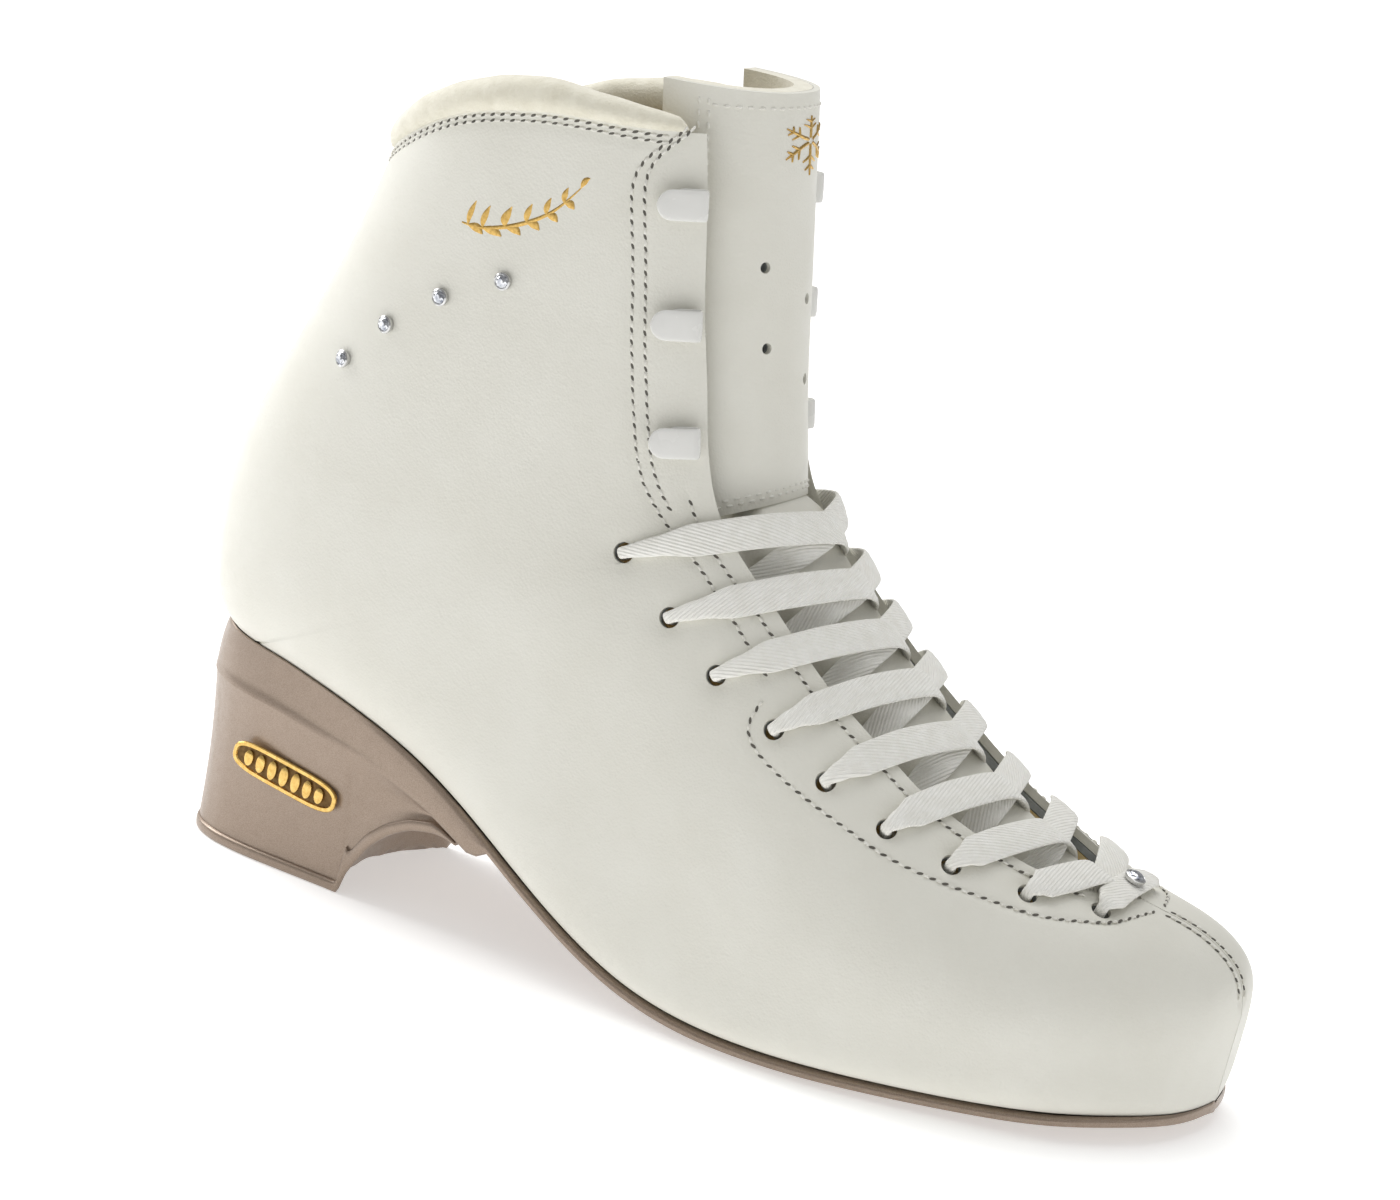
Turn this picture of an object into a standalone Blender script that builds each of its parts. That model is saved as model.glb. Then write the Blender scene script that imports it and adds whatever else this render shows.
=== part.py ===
"""Right-foot figure skating boot: lasted leather boot on a moulded sole and heel, laced, no blade.

Metres in the file, millimetres in the tables below. Toe along +X, outer (lateral) side at -Y,
standing on the ball of the sole and the heel at Z = 0.

The upper is a fan of cross-sections numbered from the toe tip (0) to above the collar (16).
Every layer of the wall is the same fan moved inwards by a depth, so the layers nest.
"""
import math

import bpy
import numpy as np

# ------------------------------------------------------------------ driving dimensions (mm)
SHIFT_X = 1.38          # moves the finished boot so that its footprint is centred
SHIFT_Y = 1.30

# bottom/back point x z, top/front point x z, half width, centre y, level of the widest
# point (0 bottom .. 1 top), roundness of the bottom part, roundness of the top part
STATIONS = np.array([
    [132.3,   6.6, 134.2,  28.0,  0.0, 14.6, 0.45, 4.0, 2.6],
    [129.0,   5.6, 131.5,  38.2, 17.0, 13.4, 0.44, 4.5, 2.5],
    [119.0,   5.0, 120.9,  46.4, 28.5,  9.5, 0.42, 5.0, 2.4],
    [100.0,   4.2, 106.5,  51.5, 38.0,  4.0, 0.38, 5.0, 2.3],
    [70.0,    3.2,  90.0,  58.5, 42.8,  0.5, 0.32, 6.0, 2.3],
    [38.0,    2.6,  73.0,  67.5, 44.0, -2.0, 0.34, 7.0, 2.4],
    [4.0,     5.8,  57.0,  78.5, 42.0, -2.0, 0.40, 6.5, 2.5],
    [-30.0,  20.5,  42.0,  90.0, 39.0, -1.0, 0.46, 6.0, 2.5],
    [-68.5,  39.5,  28.5, 102.0, 38.0,  0.0, 0.50, 4.5, 2.5],
    [-110.5, 50.0,  18.5, 114.0, 38.0,  0.0, 0.52, 2.8, 2.4],
    [-133.0, 61.0,  13.5, 124.0, 38.0,  0.0, 0.52, 2.5, 2.3],
    [-137.0, 81.5,  10.0, 136.0, 38.0,  0.0, 0.50, 2.4, 2.3],
    [-132.5, 104.0,  7.0, 149.5, 38.0,  0.0, 0.50, 2.3, 2.3],
    [-121.0, 130.0,  2.5, 165.5, 38.0,  0.0, 0.50, 2.3, 2.3],
    [-110.0, 155.0, -1.5, 185.5, 38.0,  0.0, 0.50, 2.3, 2.3],
    [-101.5, 180.0, -6.0, 205.5, 38.0,  0.0, 0.50, 2.3, 2.3],
    [-95.0,  202.0, -10.0, 223.5, 38.0, 0.0, 0.50, 2.3, 2.3],
])

# half width of the lacing gap along the fan
GAP_STATION = [2.85, 3.0, 3.4, 4.0, 4.6, 5.5, 7.0, 10.0, 15.6]
GAP_HALF = [0.0, 5.0, 10.5, 15.5, 18.5, 21.5, 23.0, 23.5, 25.0]

# layers of the wall, as depths under the outer face
LEATHER = (0.0, 1.9)
MIDDLE = (2.2, 3.7)
LINING = (4.0, 4.9)
FOOTBED = (5.3, 8.3)
FILLER = (0.3, 1.9)
SEAM_GAP = 0.15         # each half keeps this far from the middle plane
RIM_GAP = 0.15          # every layer edge is pulled back by this much

# shared grid: fan stations down the rows, columns from the lacing edge to the middle of the back
ROWS = [0.0, 0.2, 0.5, 0.9, 1.4, 2.0, 2.5, 2.85, 3.0, 3.2, 3.5, 4.0, 4.6, 5.3, 6.0, 6.75, 7.5,
        8.0, 8.5, 9.0, 9.6, 10.3, 11.0, 11.75, 12.5, 13.25, 14.0, 15.0]
SIDE_COLUMNS = [0.0, 0.1, 0.23, 0.37, 0.51, 0.65, 0.78, 0.9, 1.0]
MARGIN_ANGLE = 2.85     # where the lasting margin stops under the foot
BOTTOM_ANGLES = [2.95, 3.04, math.pi]
HALF = len(SIDE_COLUMNS) - 1 + len(BOTTOM_ANGLES)   # column number of the middle of the back

EYELETS = [(9.5, 33.5), (8.4, 34.0), (7.65, 34.0), (6.9, 33.0), (6.15, 33.0), (5.35, 31.5),
           (4.6, 28.0), (3.8, 22.0), (3.05, 13.0)]     # station, distance from the middle
EYELET_RADIUS = 2.0
HOOK_STATIONS = [14.15, 12.85, 11.2]
HOOK_REACH = (24.9, 31.6)    # fold and free end, distance from the middle
HOOK_WIDTH = 7.0
RIVET_RADIUS = 1.1
CRYSTALS = [(12.67, 2.05), (13.03, 1.90), (13.31, 1.70), (13.45, 1.51)]   # station, angle
CRYSTAL_RADIUS = 2.0

SOLE_STATION = [0.06, 0.2, 0.5, 0.9, 1.4, 2.0, 2.5, 2.85, 3.5, 4.0, 4.6, 5.3, 6.0, 6.75, 7.2, 7.5,
                7.75, 8.0, 8.25, 8.5, 9.0, 9.3, 9.6, 9.78, 9.88]
SOLE_HALF = [0.8, 2.6, 6.8, 12.6, 19.0, 25.0, 28.7, 30.3, 33.5, 36.4, 38.3, 37.8, 35.2, 32.6, 31.6,
             31.1, 30.7, 30.3, 29.9, 29.3, 26.5, 23.0, 17.5, 11.5, 6.0]
# underside of the sole: x, z
SOLE_UNDER = [(-137.0, 42.0), (-107.0, 41.0), (-90.0, 38.5), (-72.0, 35.0), (-58.0, 30.5),
              (-46.0, 24.8), (-30.0, 16.8), (-12.0, 8.6), (4.0, 3.2), (15.0, 0.9), (26.0, 0.1),
              (32.0, 0.0), (88.0, 0.0), (100.0, 0.6), (112.0, 1.6), (122.0, 2.6), (136.0, 4.2)]
SOLE_OUTSET = 1.2
SOLE_RIM = ([7.3, 8.6], [2.5, 30.0])    # thickness of the sole's edge along the fan: thin, then the heel band
SOLE_FLAT = 0.55        # share of the width that lies flat before the underside rises to the rim
SOLE_GAP = 0.55

HEEL_X = [-133.6, -132.4, -130.0, -126.0, -119.0, -109.0, -97.0, -88.0, -82.0, -79.5, -76.5, -72.0,
          -66.0, -59.0, -52.0, -47.0]
HEEL_TOP_HALF = [(-133.6, 6.0), (-132.4, 10.0), (-130.0, 14.5), (-126.0, 18.5), (-119.0, 23.0),
                 (-109.0, 26.5), (-97.0, 28.5), (-82.0, 29.5), (-47.0, 30.5)]
HEEL_FOOT_HALF = [(-133.6, 6.0), (-132.4, 9.5), (-130.0, 13.5), (-126.0, 17.0), (-119.0, 20.3),
                  (-109.0, 22.4), (-97.0, 23.6), (-82.0, 25.0), (-72.0, 27.0), (-47.0, 30.5)]
HEEL_ARCH = [(-200.0, 0.0), (-81.0, 0.0), (-79.0, 5.0), (-76.5, 9.0), (-72.0, 15.0), (-66.0, 20.0),
             (-59.0, 23.2), (-52.0, 24.3), (-47.0, 23.6)]
HEEL_HOLLOW = 8.0       # how far the breast is hollowed in the middle
BEAD_HEIGHT = 2.8
BEAD_OUT = 1.1
HEEL_WAIST = 1.2

COLLAR_HEIGHT = 7.5
COLLAR_START = 0.74     # angle where the pad starts behind the lacing edge

TONGUE_HALF = 22.0      # half width of the channel-shaped upper tongue
TONGUE_DEPTH = 25.0
# crest of the upper tongue: x, z, tilt of its cross-section (rise per mm forward)
TONGUE_CREST = np.array([
    [9.9, 119.0, 0.44],
    [8.0, 130.0, 0.40],
    [6.1, 140.0, 0.34],
    [3.8, 155.0, 0.29],
    [1.8, 170.0, 0.25],
    [-0.6, 187.0, 0.20],
    [-2.8, 203.0, 0.12],
    [-4.0, 210.5, 0.02],
])
TONGUE_LEATHER = (0.0, 1.4)
TONGUE_FOAM = (1.7, 4.4)
TONGUE_LINING = (4.7, 5.6)
LOWER_TONGUE_ROWS = [3.6, 4.0, 4.6, 5.4, 6.2, 7.0, 7.8, 8.6, 9.2, 9.6]
LOWER_TONGUE_MIDDLE = 6.0    # depth of its face under the crest of the lacing gap
LOWER_TONGUE_SIDE = 9.0      # depth of its face under the lacing facings

LACE_THICK = 1.3
LACE_WIDE = 7.0
LACE_NECK = 2.5

# ------------------------------------------------------------------ shape functions (mm)


def spline_rows(rows, at):
    """Natural cubic through evenly numbered rows."""
    rows = np.asarray(rows, float)
    count = len(rows)
    system = np.zeros((count, count))
    right = np.zeros_like(rows)
    system[0, 0] = system[-1, -1] = 1.0
    for i in range(1, count - 1):
        system[i, i - 1:i + 2] = (1.0, 4.0, 1.0)
        right[i] = 6.0 * (rows[i + 1] - 2.0 * rows[i] + rows[i - 1])
    bend = np.linalg.solve(system, right)
    at = np.clip(np.asarray(at, float), 0.0, count - 1.0)
    i = np.minimum(at.astype(int), count - 2)
    f = (at - i)[..., None]
    g = 1.0 - f
    return (g * rows[i] + f * rows[i + 1]
            + ((g ** 3 - g) * bend[i] + (f ** 3 - f) * bend[i + 1]) / 6.0)


def unit(vectors):
    return vectors / np.maximum(np.linalg.norm(vectors, axis=-1, keepdims=True), 1e-9)


def section(t, depth=0.0):
    """Bottom point, top point, half width, centre and roundness of the fan at station t."""
    t = np.asarray(t, float)
    row = spline_rows(STATIONS, t)
    step = 0.02
    ahead = spline_rows(STATIONS, t + step)
    behind = spline_rows(STATIONS, t - step)
    bottom, top = row[..., 0:2], row[..., 2:4]
    run_bottom = unit((ahead - behind)[..., 0:2])
    run_top = unit((ahead - behind)[..., 2:4])
    inward_bottom = np.stack([-run_bottom[..., 1], run_bottom[..., 0]], -1)
    inward_top = np.stack([-run_top[..., 1], run_top[..., 0]], -1)
    inward_bottom *= np.sign(np.sum(inward_bottom * (top - bottom), -1, keepdims=True))
    inward_top *= np.sign(np.sum(inward_top * (bottom - top), -1, keepdims=True))
    depth = np.asarray(depth, float)
    bottom = bottom + inward_bottom * depth[..., None]
    top = top + inward_top * depth[..., None]
    width = np.maximum(row[..., 4] - depth * np.clip(t * 1.5, 0.0, 1.0), 0.0)
    return bottom, top, width, row[..., 5], row[..., 6], row[..., 7], row[..., 8]


def skin(t, angle, depth=0.0):
    """Point of the wall: angle 0 top/front, positive on the lateral side, pi bottom/back."""
    t, angle, depth = np.broadcast_arrays(np.asarray(t, float), angle, depth)
    bottom, top, width, middle, level, round_low, round_high = section(t, depth)
    c, s = np.cos(angle), np.sin(angle)
    power = np.where(c > 0, round_high, round_low)
    across = np.sign(s) * np.abs(s) ** (2.0 / power) * width
    rise = np.where(c > 0, level + (1 - level) * np.abs(c) ** (2.0 / round_high),
                    level - level * np.abs(c) ** (2.0 / round_low))
    xz = bottom + (top - bottom) * rise[..., None]
    return np.stack([xz[..., 0], middle - across, xz[..., 1]], -1)


def angle_at(t, across, depth=0.0, low=False):
    """Angle of the point at a distance from the middle, on the top or the bottom part."""
    t = np.asarray(t, float)
    _, _, width, _, _, round_low, round_high = section(t, depth)
    power = round_low if low else round_high
    share = np.clip(np.asarray(across, float) / np.maximum(width, 1e-6), 0.0, 1.0)
    angle = np.arcsin(share ** (power / 2.0))
    return math.pi - angle if low else angle


def outward(t, angle, depth=0.0):
    """Unit normal of the wall and unit direction up the fan."""
    step = 0.01
    up = skin(t + step, angle, depth) - skin(t - step, angle, depth)
    around = skin(t, angle + step, depth) - skin(t, angle - step, depth)
    return unit(np.cross(up, around)), unit(up)


def half_gap(t):
    return np.interp(t, GAP_STATION, GAP_HALF)


def collar_line(angle):
    """Station of the leather's top edge: low at the back, arched over the ankle sides."""
    a = np.abs(angle)
    arch = 0.5 * np.exp(-((a - 1.75) / 0.75) ** 2)
    medial_drop = 0.2 * np.where(np.asarray(angle) < 0, np.sin(a) ** 2, 0.0)
    return 14.8 + arch - medial_drop


def wall_grid(depth):
    """All wall points at one depth: rows by ring columns, lateral edge first."""
    grid = np.zeros((len(ROWS), 2 * HALF + 1, 3))
    for i, station in enumerate(ROWS):
        first = float(angle_at(station, half_gap(station), depth))
        angles = [first + (MARGIN_ANGLE - first) * share for share in SIDE_COLUMNS] + BOTTOM_ANGLES
        for k in range(2 * HALF + 1):
            side = 1.0 if k <= HALF else -1.0
            angle = side * angles[min(k, 2 * HALF - k)]
            t = station
            if station > 12.5:
                t = 12.5 + (station - 12.5) * (float(collar_line(angle)) - 12.5) / 2.5
            grid[i, k] = skin(t, angle, depth)
    return grid


def row_at(station):
    return min(range(len(ROWS)), key=lambda i: abs(ROWS[i] - station))


# ------------------------------------------------------------------ scene helpers


for old in list(bpy.data.objects):
    bpy.data.objects.remove(old, do_unlink=True)
for old in list(bpy.data.collections):
    bpy.data.collections.remove(old)

CUTTERS = bpy.data.collections.new("cutters")
bpy.context.scene.collection.children.link(CUTTERS)
CUTTERS.hide_render = True
MATERIALS = {}


def material(name, colour, metallic=0.0, roughness=0.5):
    if name not in MATERIALS:
        made = bpy.data.materials.new(name)
        made.use_nodes = True
        shader = made.node_tree.nodes["Principled BSDF"]
        shader.inputs["Base Color"].default_value = (*colour, 1.0)
        shader.inputs["Metallic"].default_value = metallic
        shader.inputs["Roughness"].default_value = roughness
        MATERIALS[name] = made
    return MATERIALS[name]


WHITE = material("white_leather", (0.82, 0.80, 0.75), 0.0, 0.5)
CREAM = material("cream_suede", (0.80, 0.74, 0.58), 0.0, 0.9)
TAN = material("tan_lining", (0.62, 0.48, 0.24), 0.0, 0.8)
GREY = material("grey_foam", (0.30, 0.32, 0.33), 0.0, 0.95)
TAUPE = material("taupe_sole", (0.27, 0.20, 0.16), 0.4, 0.35)
GOLD = material("gold_metal", (0.75, 0.50, 0.18), 1.0, 0.25)
STEEL = material("steel", (0.60, 0.60, 0.60), 1.0, 0.3)
ENAMEL = material("white_enamel", (0.80, 0.80, 0.79), 0.0, 0.25)
CRYSTAL = material("clear_crystal", (0.85, 0.88, 0.90), 0.1, 0.05)
BOARD = material("brown_board", (0.35, 0.22, 0.12), 0.0, 0.85)
CORK = material("cork", (0.45, 0.30, 0.16), 0.0, 0.9)
LACE = material("woven_lace", (0.82, 0.81, 0.76), 0.0, 0.85)


def to_metres(points):
    points = np.asarray(points, float) + np.array([SHIFT_X, SHIFT_Y, 0.0])
    return [tuple(p) for p in points * 0.001]


def add_object(name, points, faces, look, cutter=False):
    mesh = bpy.data.meshes.new(name)
    mesh.from_pydata(to_metres(points), [], [tuple(int(v) for v in f) for f in faces])
    mesh.update()
    made = bpy.data.objects.new(name, mesh)
    if cutter:
        CUTTERS.objects.link(made)
        made.hide_render = True
        made.display_type = "WIRE"
        return made
    home = bpy.data.collections.new(name)
    bpy.context.scene.collection.children.link(home)
    home.objects.link(made)
    mesh.materials.append(look)
    return made


def subtract(target, cutter):
    step = target.modifiers.new("holes", "BOOLEAN")
    step.operation = "DIFFERENCE"
    step.solver = "EXACT"
    step.object = cutter


def layer(name, depths, cells, look, shift=0.0):
    """Solid sheet between two depths over rectangles of grid cells (row, row, column, column)."""
    outer, inner = wall_grid(depths[0]), wall_grid(depths[1])
    last = 2 * HALF

    def corner(i, k):
        if i == 0:
            return (0, min(k, last - k))
        if k == last and ROWS[i] <= GAP_STATION[0]:
            return (i, 0)
        return (i, k)

    quads = set()
    for i0, i1, k0, k1 in cells:
        quads.update((i, k) for i in range(i0, i1) for k in range(k0, k1))
    quads = sorted(quads)
    loops = [[corner(i, k), corner(i, k + 1), corner(i + 1, k + 1), corner(i + 1, k)]
             for i, k in quads]
    keys = sorted({key for loop in loops for key in loop})
    number = {key: n for n, key in enumerate(keys)}
    out = np.array([outer[key] for key in keys])
    inn = np.array([inner[key] for key in keys])
    faces = [[number[key] for key in loop] for loop in loops]

    edges = {}
    for face in faces:
        for a, b in zip(face, face[1:] + face[:1]):
            edges[(a, b)] = True
    rim = [edge for edge in edges if (edge[1], edge[0]) not in edges]

    pull = np.zeros_like(out)
    share = np.zeros(len(keys))
    for face in faces:
        centre = out[face].mean(axis=0)
        for v in face:
            pull[v] += centre - out[v]
            share[v] += 1
    on_rim = sorted({v for edge in rim for v in edge})
    for v in on_rim:
        move = pull[v] / np.linalg.norm(pull[v]) * RIM_GAP
        out[v] += move
        inn[v] += move

    size = len(keys)
    solid = []
    for a, b, c, d in faces:
        solid += [[a, c, b], [a, d, c]]
        solid += [[a + size, b + size, c + size], [a + size, c + size, d + size]]
    solid += [[a, b, b + size, a + size] for a, b in rim]
    points = np.vstack([out, inn])
    points[:, 1] += shift
    return add_object(name, points, solid, look)


def ring_loft(name, rings, look):
    """Closed solid through rings of equal size, ends capped."""
    rings = np.asarray(rings, float)
    count, around = rings.shape[:2]
    faces = []
    for i in range(count - 1):
        for j in range(around):
            k = (j + 1) % around
            faces.append([i * around + j, i * around + k, (i + 1) * around + k, (i + 1) * around + j])
    faces.append(list(range(around))[::-1])
    faces.append([(count - 1) * around + j for j in range(around)])
    points = rings.reshape(-1, 3)
    made = add_object(name, points, faces, look)
    tidy_normals(made)
    return made


def tidy_normals(made):
    """Turn the faces outwards when the signed volume says they point inwards."""
    mesh = made.data
    volume = 0.0
    for poly in mesh.polygons:
        corners = [mesh.vertices[v].co for v in poly.vertices]
        for a, b in zip(corners[1:-1], corners[2:]):
            volume += corners[0].dot(a.cross(b))
    if volume < 0:
        mesh.flip_normals()


def disc_ring(centre, axis, side, radius, count):
    axis, side = unit(np.asarray(axis, float)), np.asarray(side, float)
    side = unit(side - axis * np.dot(side, axis))
    third = np.cross(axis, side)
    turns = [2 * math.pi * n / count for n in range(count)]
    return [centre + radius * (math.cos(a) * side + math.sin(a) * third) for a in turns]


def turned(name, centre, axis, side, profile, look, count):
    """Solid of revolution: profile gives (height along axis, radius)."""
    axis = unit(np.asarray(axis, float))
    rings = [disc_ring(centre + axis * height, axis, side, radius, count) for height, radius in profile]
    return ring_loft(name, rings, look)


def joined_cylinders(name, spots, radius, reach, count):
    """One cutter made of separate cylinders; spots are (centre, axis, side)."""
    points, faces = [], []
    for centre, axis, side in spots:
        low = disc_ring(centre - axis * reach[0], axis, side, radius, count)
        high = disc_ring(centre + axis * reach[1], axis, side, radius, count)
        base = len(points)
        points += low + high
        for j in range(count):
            k = (j + 1) % count
            faces.append([base + j, base + k, base + count + k, base + count + j])
        faces.append([base + j for j in range(count)][::-1])
        faces.append([base + count + j for j in range(count)])
    return add_object(name, points, faces, None, cutter=True)


# ------------------------------------------------------------------ the wall of the boot

TOP = len(ROWS) - 1
SEAT = row_at(9.6)
CUFF = row_at(12.5)
MARGIN = len(SIDE_COLUMNS) - 1      # column where the lasting margin stops
FEATHER = MARGIN - 1                # column near the edge of the foot's underside
ANKLE = 4                           # column where the heel counter starts
LAST = 2 * HALF

SIDES = {"lateral": (1.0, -SEAM_GAP), "medial": (-1.0, SEAM_GAP)}


def half_cells(side, ranges):
    """Cell rectangles of one half; the medial half mirrors the columns."""
    if side == "lateral":
        return ranges
    return [(i0, i1, LAST - k1, LAST - k0) for i0, i1, k0, k1 in ranges]


def wall_spot(station, angle):
    normal, up = outward(station, angle)
    return skin(station, angle), normal, up


def hole_spots(side):
    sign = SIDES[side][0]
    spots = []
    for station, across in EYELETS:
        spots.append(wall_spot(station, sign * float(angle_at(station, across))))
    return spots


def rivet_spots(side):
    sign = SIDES[side][0]
    middle = 0.5 * (HOOK_REACH[0] + HOOK_REACH[1]) + 0.8
    return [wall_spot(station, sign * float(angle_at(station, middle))) for station in HOOK_STATIONS]


for side, (sign, shift) in SIDES.items():
    eyelet_cut = joined_cylinders(f"cut_eyelets_{side}", hole_spots(side), EYELET_RADIUS, (9.0, 4.0), 10)
    rivet_cut = joined_cylinders(f"cut_rivets_{side}", rivet_spots(side), RIVET_RADIUS + 0.25,
                                 (9.0, 4.0), 8)
    quarter = layer(f"upper_{side}", LEATHER,
                    half_cells(side, [(0, SEAT, 0, MARGIN), (SEAT, TOP, 0, HALF)]), WHITE, shift)
    padding = layer(f"padding_{side}", MIDDLE,
                    half_cells(side, [(row_at(2.85), row_at(7.5), 0, FEATHER),
                                      (row_at(7.5), CUFF, 0, ANKLE), (CUFF, TOP, 0, HALF)]),
                    GREY, shift)
    lining = layer(f"lining_{side}", LINING, half_cells(side, [(0, TOP, 0, HALF)]), TAN, shift)
    for part in (quarter, padding, lining):
        subtract(part, eyelet_cut)
        subtract(part, rivet_cut)

layer("toe_box", MIDDLE,
      [(0, row_at(2.5), 0, FEATHER), (0, row_at(2.5), LAST - FEATHER, LAST)], BOARD)
layer("heel_counter", MIDDLE,
      [(row_at(7.5), SEAT, ANKLE, FEATHER), (row_at(7.5), SEAT, LAST - FEATHER, LAST - ANKLE),
       (SEAT, CUFF, ANKLE, LAST - ANKLE)], BOARD)
layer("lasting_board", MIDDLE, [(row_at(0.5), SEAT, FEATHER, LAST - FEATHER)], BOARD)
layer("bottom_filler", FILLER, [(row_at(0.9), row_at(9.0), MARGIN, LAST - MARGIN)], CORK)
layer("footbed", FOOTBED, [(row_at(0.9), SEAT, FEATHER, LAST - FEATHER)], CREAM)

# ------------------------------------------------------------------ collar pad

COLLAR_SECTION = [(-3.6, 0.0), (2.2, 0.0), (3.6, 0.3), (3.3, 0.68), (1.7, 0.94), (-0.9, 1.0),
                  (-3.4, 0.82), (-4.9, 0.42)]
COLLAR_LIFT = 0.6
rings = []
for a in np.linspace(COLLAR_START, 2 * math.pi - COLLAR_START, 33):
    angle = a if a <= math.pi else a - 2 * math.pi
    station = float(collar_line(angle))
    normal, up = outward(station, angle, 2.5)
    along = unit(skin(station, angle + 0.01, 2.5) - skin(station, angle - 0.01, 2.5))
    up = unit(up - along * np.dot(up, along))
    out = unit(np.cross(along, up))
    start = min(a, 2 * math.pi - a) - COLLAR_START
    height = COLLAR_HEIGHT * (0.32 + 0.68 * min(1.0, start / 0.75) ** 0.7)
    slim = 0.62 + 0.38 * min(1.0, start / 0.4)
    base = skin(station, angle, 2.5)
    rings.append([base + out * reach * slim + up * (COLLAR_LIFT + share * height)
                  for reach, share in COLLAR_SECTION])
ring_loft("collar_pad", rings, CREAM)

# ------------------------------------------------------------------ sole and heel


def under_sole(x):
    return np.interp(x, [p[0] for p in SOLE_UNDER], [p[1] for p in SOLE_UNDER])


SOLE_SHARES = [-1.0, -0.93, -0.82, -0.55, -0.3, 0.0, 0.3, 0.55, 0.82, 0.93, 1.0]
rings = []
for station, half in zip(SOLE_STATION, SOLE_HALF):
    top = []
    for share in SOLE_SHARES:
        angle = float(angle_at(station, abs(share) * half, -SOLE_GAP, low=True))
        top.append(skin(station, angle if share < 0 else -angle, -SOLE_GAP))
    top = np.array(top)
    for end, direction in ((0, -1.0), (-1, 1.0)):
        top[end, 1] += direction * SOLE_OUTSET
        top[end, 2] -= 0.3
    low = top.copy()
    low[:, 2] = under_sole(low[:, 0])
    lift = np.maximum((top - low)[[0, -1], 2] - np.interp(station, *SOLE_RIM), 0.0)
    rise = np.clip((np.abs(SOLE_SHARES) - SOLE_FLAT) / (1.0 - SOLE_FLAT), 0.0, 1.0)
    low[:, 2] += rise * np.where(np.array(SOLE_SHARES) < 0, lift[0], lift[1])
    rings.append(np.vstack([top, low[::-1]]))
ring_loft("outsole", rings, TAUPE)


def table(pairs, x):
    return float(np.interp(x, [p[0] for p in pairs], [p[1] for p in pairs]))


def heel_section(x):
    """Closed outline of the heel at one x: up the lateral wall, over the top, down the medial wall."""
    ceiling = float(under_sole(x)) - 0.5
    top_half, foot_half = table(HEEL_TOP_HALF, x), table(HEEL_FOOT_HALF, x)
    floor = table(HEEL_ARCH, x)
    bead = min(BEAD_HEIGHT, 0.6 * (ceiling - floor))
    side = [(floor, foot_half), (floor + 0.5, foot_half + BEAD_OUT),
            (floor + bead - 0.5, foot_half + BEAD_OUT), (floor + bead, foot_half)]
    for share in (0.3, 0.6, 1.0):
        z = floor + bead + share * (ceiling - floor - bead)
        half = foot_half + (top_half - foot_half) * share - HEEL_WAIST * math.sin(math.pi * share)
        side.append((z, half))
    points = [(x, -half, z) for z, half in side]
    points += [(x, top_half * share, ceiling) for share in (-0.5, 0.0, 0.5)]
    points += [(x, half, z) for z, half in reversed(side)]
    for share in (0.75, 0.4, 0.0, -0.4, -0.75):
        shifted = x + HEEL_HOLLOW * (1 - share * share)
        roof = min(table(HEEL_ARCH, shifted), ceiling - 1.2)
        points.append((x, foot_half * share, max(roof, floor)))
    return points


ring_loft("heel", [heel_section(x) for x in HEEL_X], TAUPE)

BADGE_CENTRE = np.array([-99.0, -26.2, 24.5])
BADGE_SIZE = (32.0, 8.0, 1.2)
BADGE_LEAN = math.radians(-8.0)
rings = []
for level, grow in ((0.0, 0.0), (0.7, 0.0), (1.2, -0.6)):
    ring = []
    for n in range(20):
        a = 2 * math.pi * n / 20
        u = math.copysign(abs(math.cos(a)) ** 0.45, math.cos(a)) * (BADGE_SIZE[0] / 2 + grow)
        v = math.copysign(abs(math.sin(a)) ** 0.7, math.sin(a)) * (BADGE_SIZE[1] / 2 + grow)
        x = u * math.cos(BADGE_LEAN) - v * math.sin(BADGE_LEAN)
        z = u * math.sin(BADGE_LEAN) + v * math.cos(BADGE_LEAN)
        ring.append(BADGE_CENTRE + np.array([x, -level - 0.06 * u, z]))
    rings.append(ring)
ring_loft("heel_badge", rings, GOLD)

# ------------------------------------------------------------------ tongue

UP_ROWS = np.linspace(0.0, len(TONGUE_CREST) - 1.0, 12)
ACROSS = np.linspace(-1.0, 1.0, 13)


def tongue_point(row, share, inset):
    """Upper tongue: a channel, crest forward, sides running back into the boot."""
    x, z, tilt = spline_rows(TONGUE_CREST, np.float64(row))
    back = unit(np.array([-1.0, 0.0, -tilt]))
    angle = share * math.pi / 2
    y = (TONGUE_HALF - inset) * math.copysign(abs(math.sin(angle)) ** 0.85, share)
    behind = inset + (TONGUE_DEPTH - inset) * (1 - math.cos(angle) ** 0.9)
    return np.array([x, 0.0, z]) + back * behind + np.array([0.0, y, 0.0])


def sheet(name, outer, inner, look):
    """Closed solid between two grids of the same size, split along the same diagonals."""
    outer, inner = np.asarray(outer, float), np.asarray(inner, float)
    rows, columns = outer.shape[:2]
    size = rows * columns
    faces = []
    for i in range(rows - 1):
        for j in range(columns - 1):
            a, b = i * columns + j, i * columns + j + 1
            c, d = b + columns, a + columns
            faces += [[a, b, c], [a, c, d]]
            faces += [[a + size, c + size, b + size], [a + size, d + size, c + size]]
    border = [j for j in range(columns)]
    border += [i * columns + columns - 1 for i in range(1, rows)]
    border += [(rows - 1) * columns + j for j in range(columns - 2, -1, -1)]
    border += [i * columns for i in range(rows - 2, 0, -1)]
    for a, b in zip(border, border[1:] + border[:1]):
        faces.append([b, a, a + size, b + size])
    made = add_object(name, np.vstack([outer.reshape(-1, 3), inner.reshape(-1, 3)]), faces, look)
    tidy_normals(made)
    return made


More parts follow.
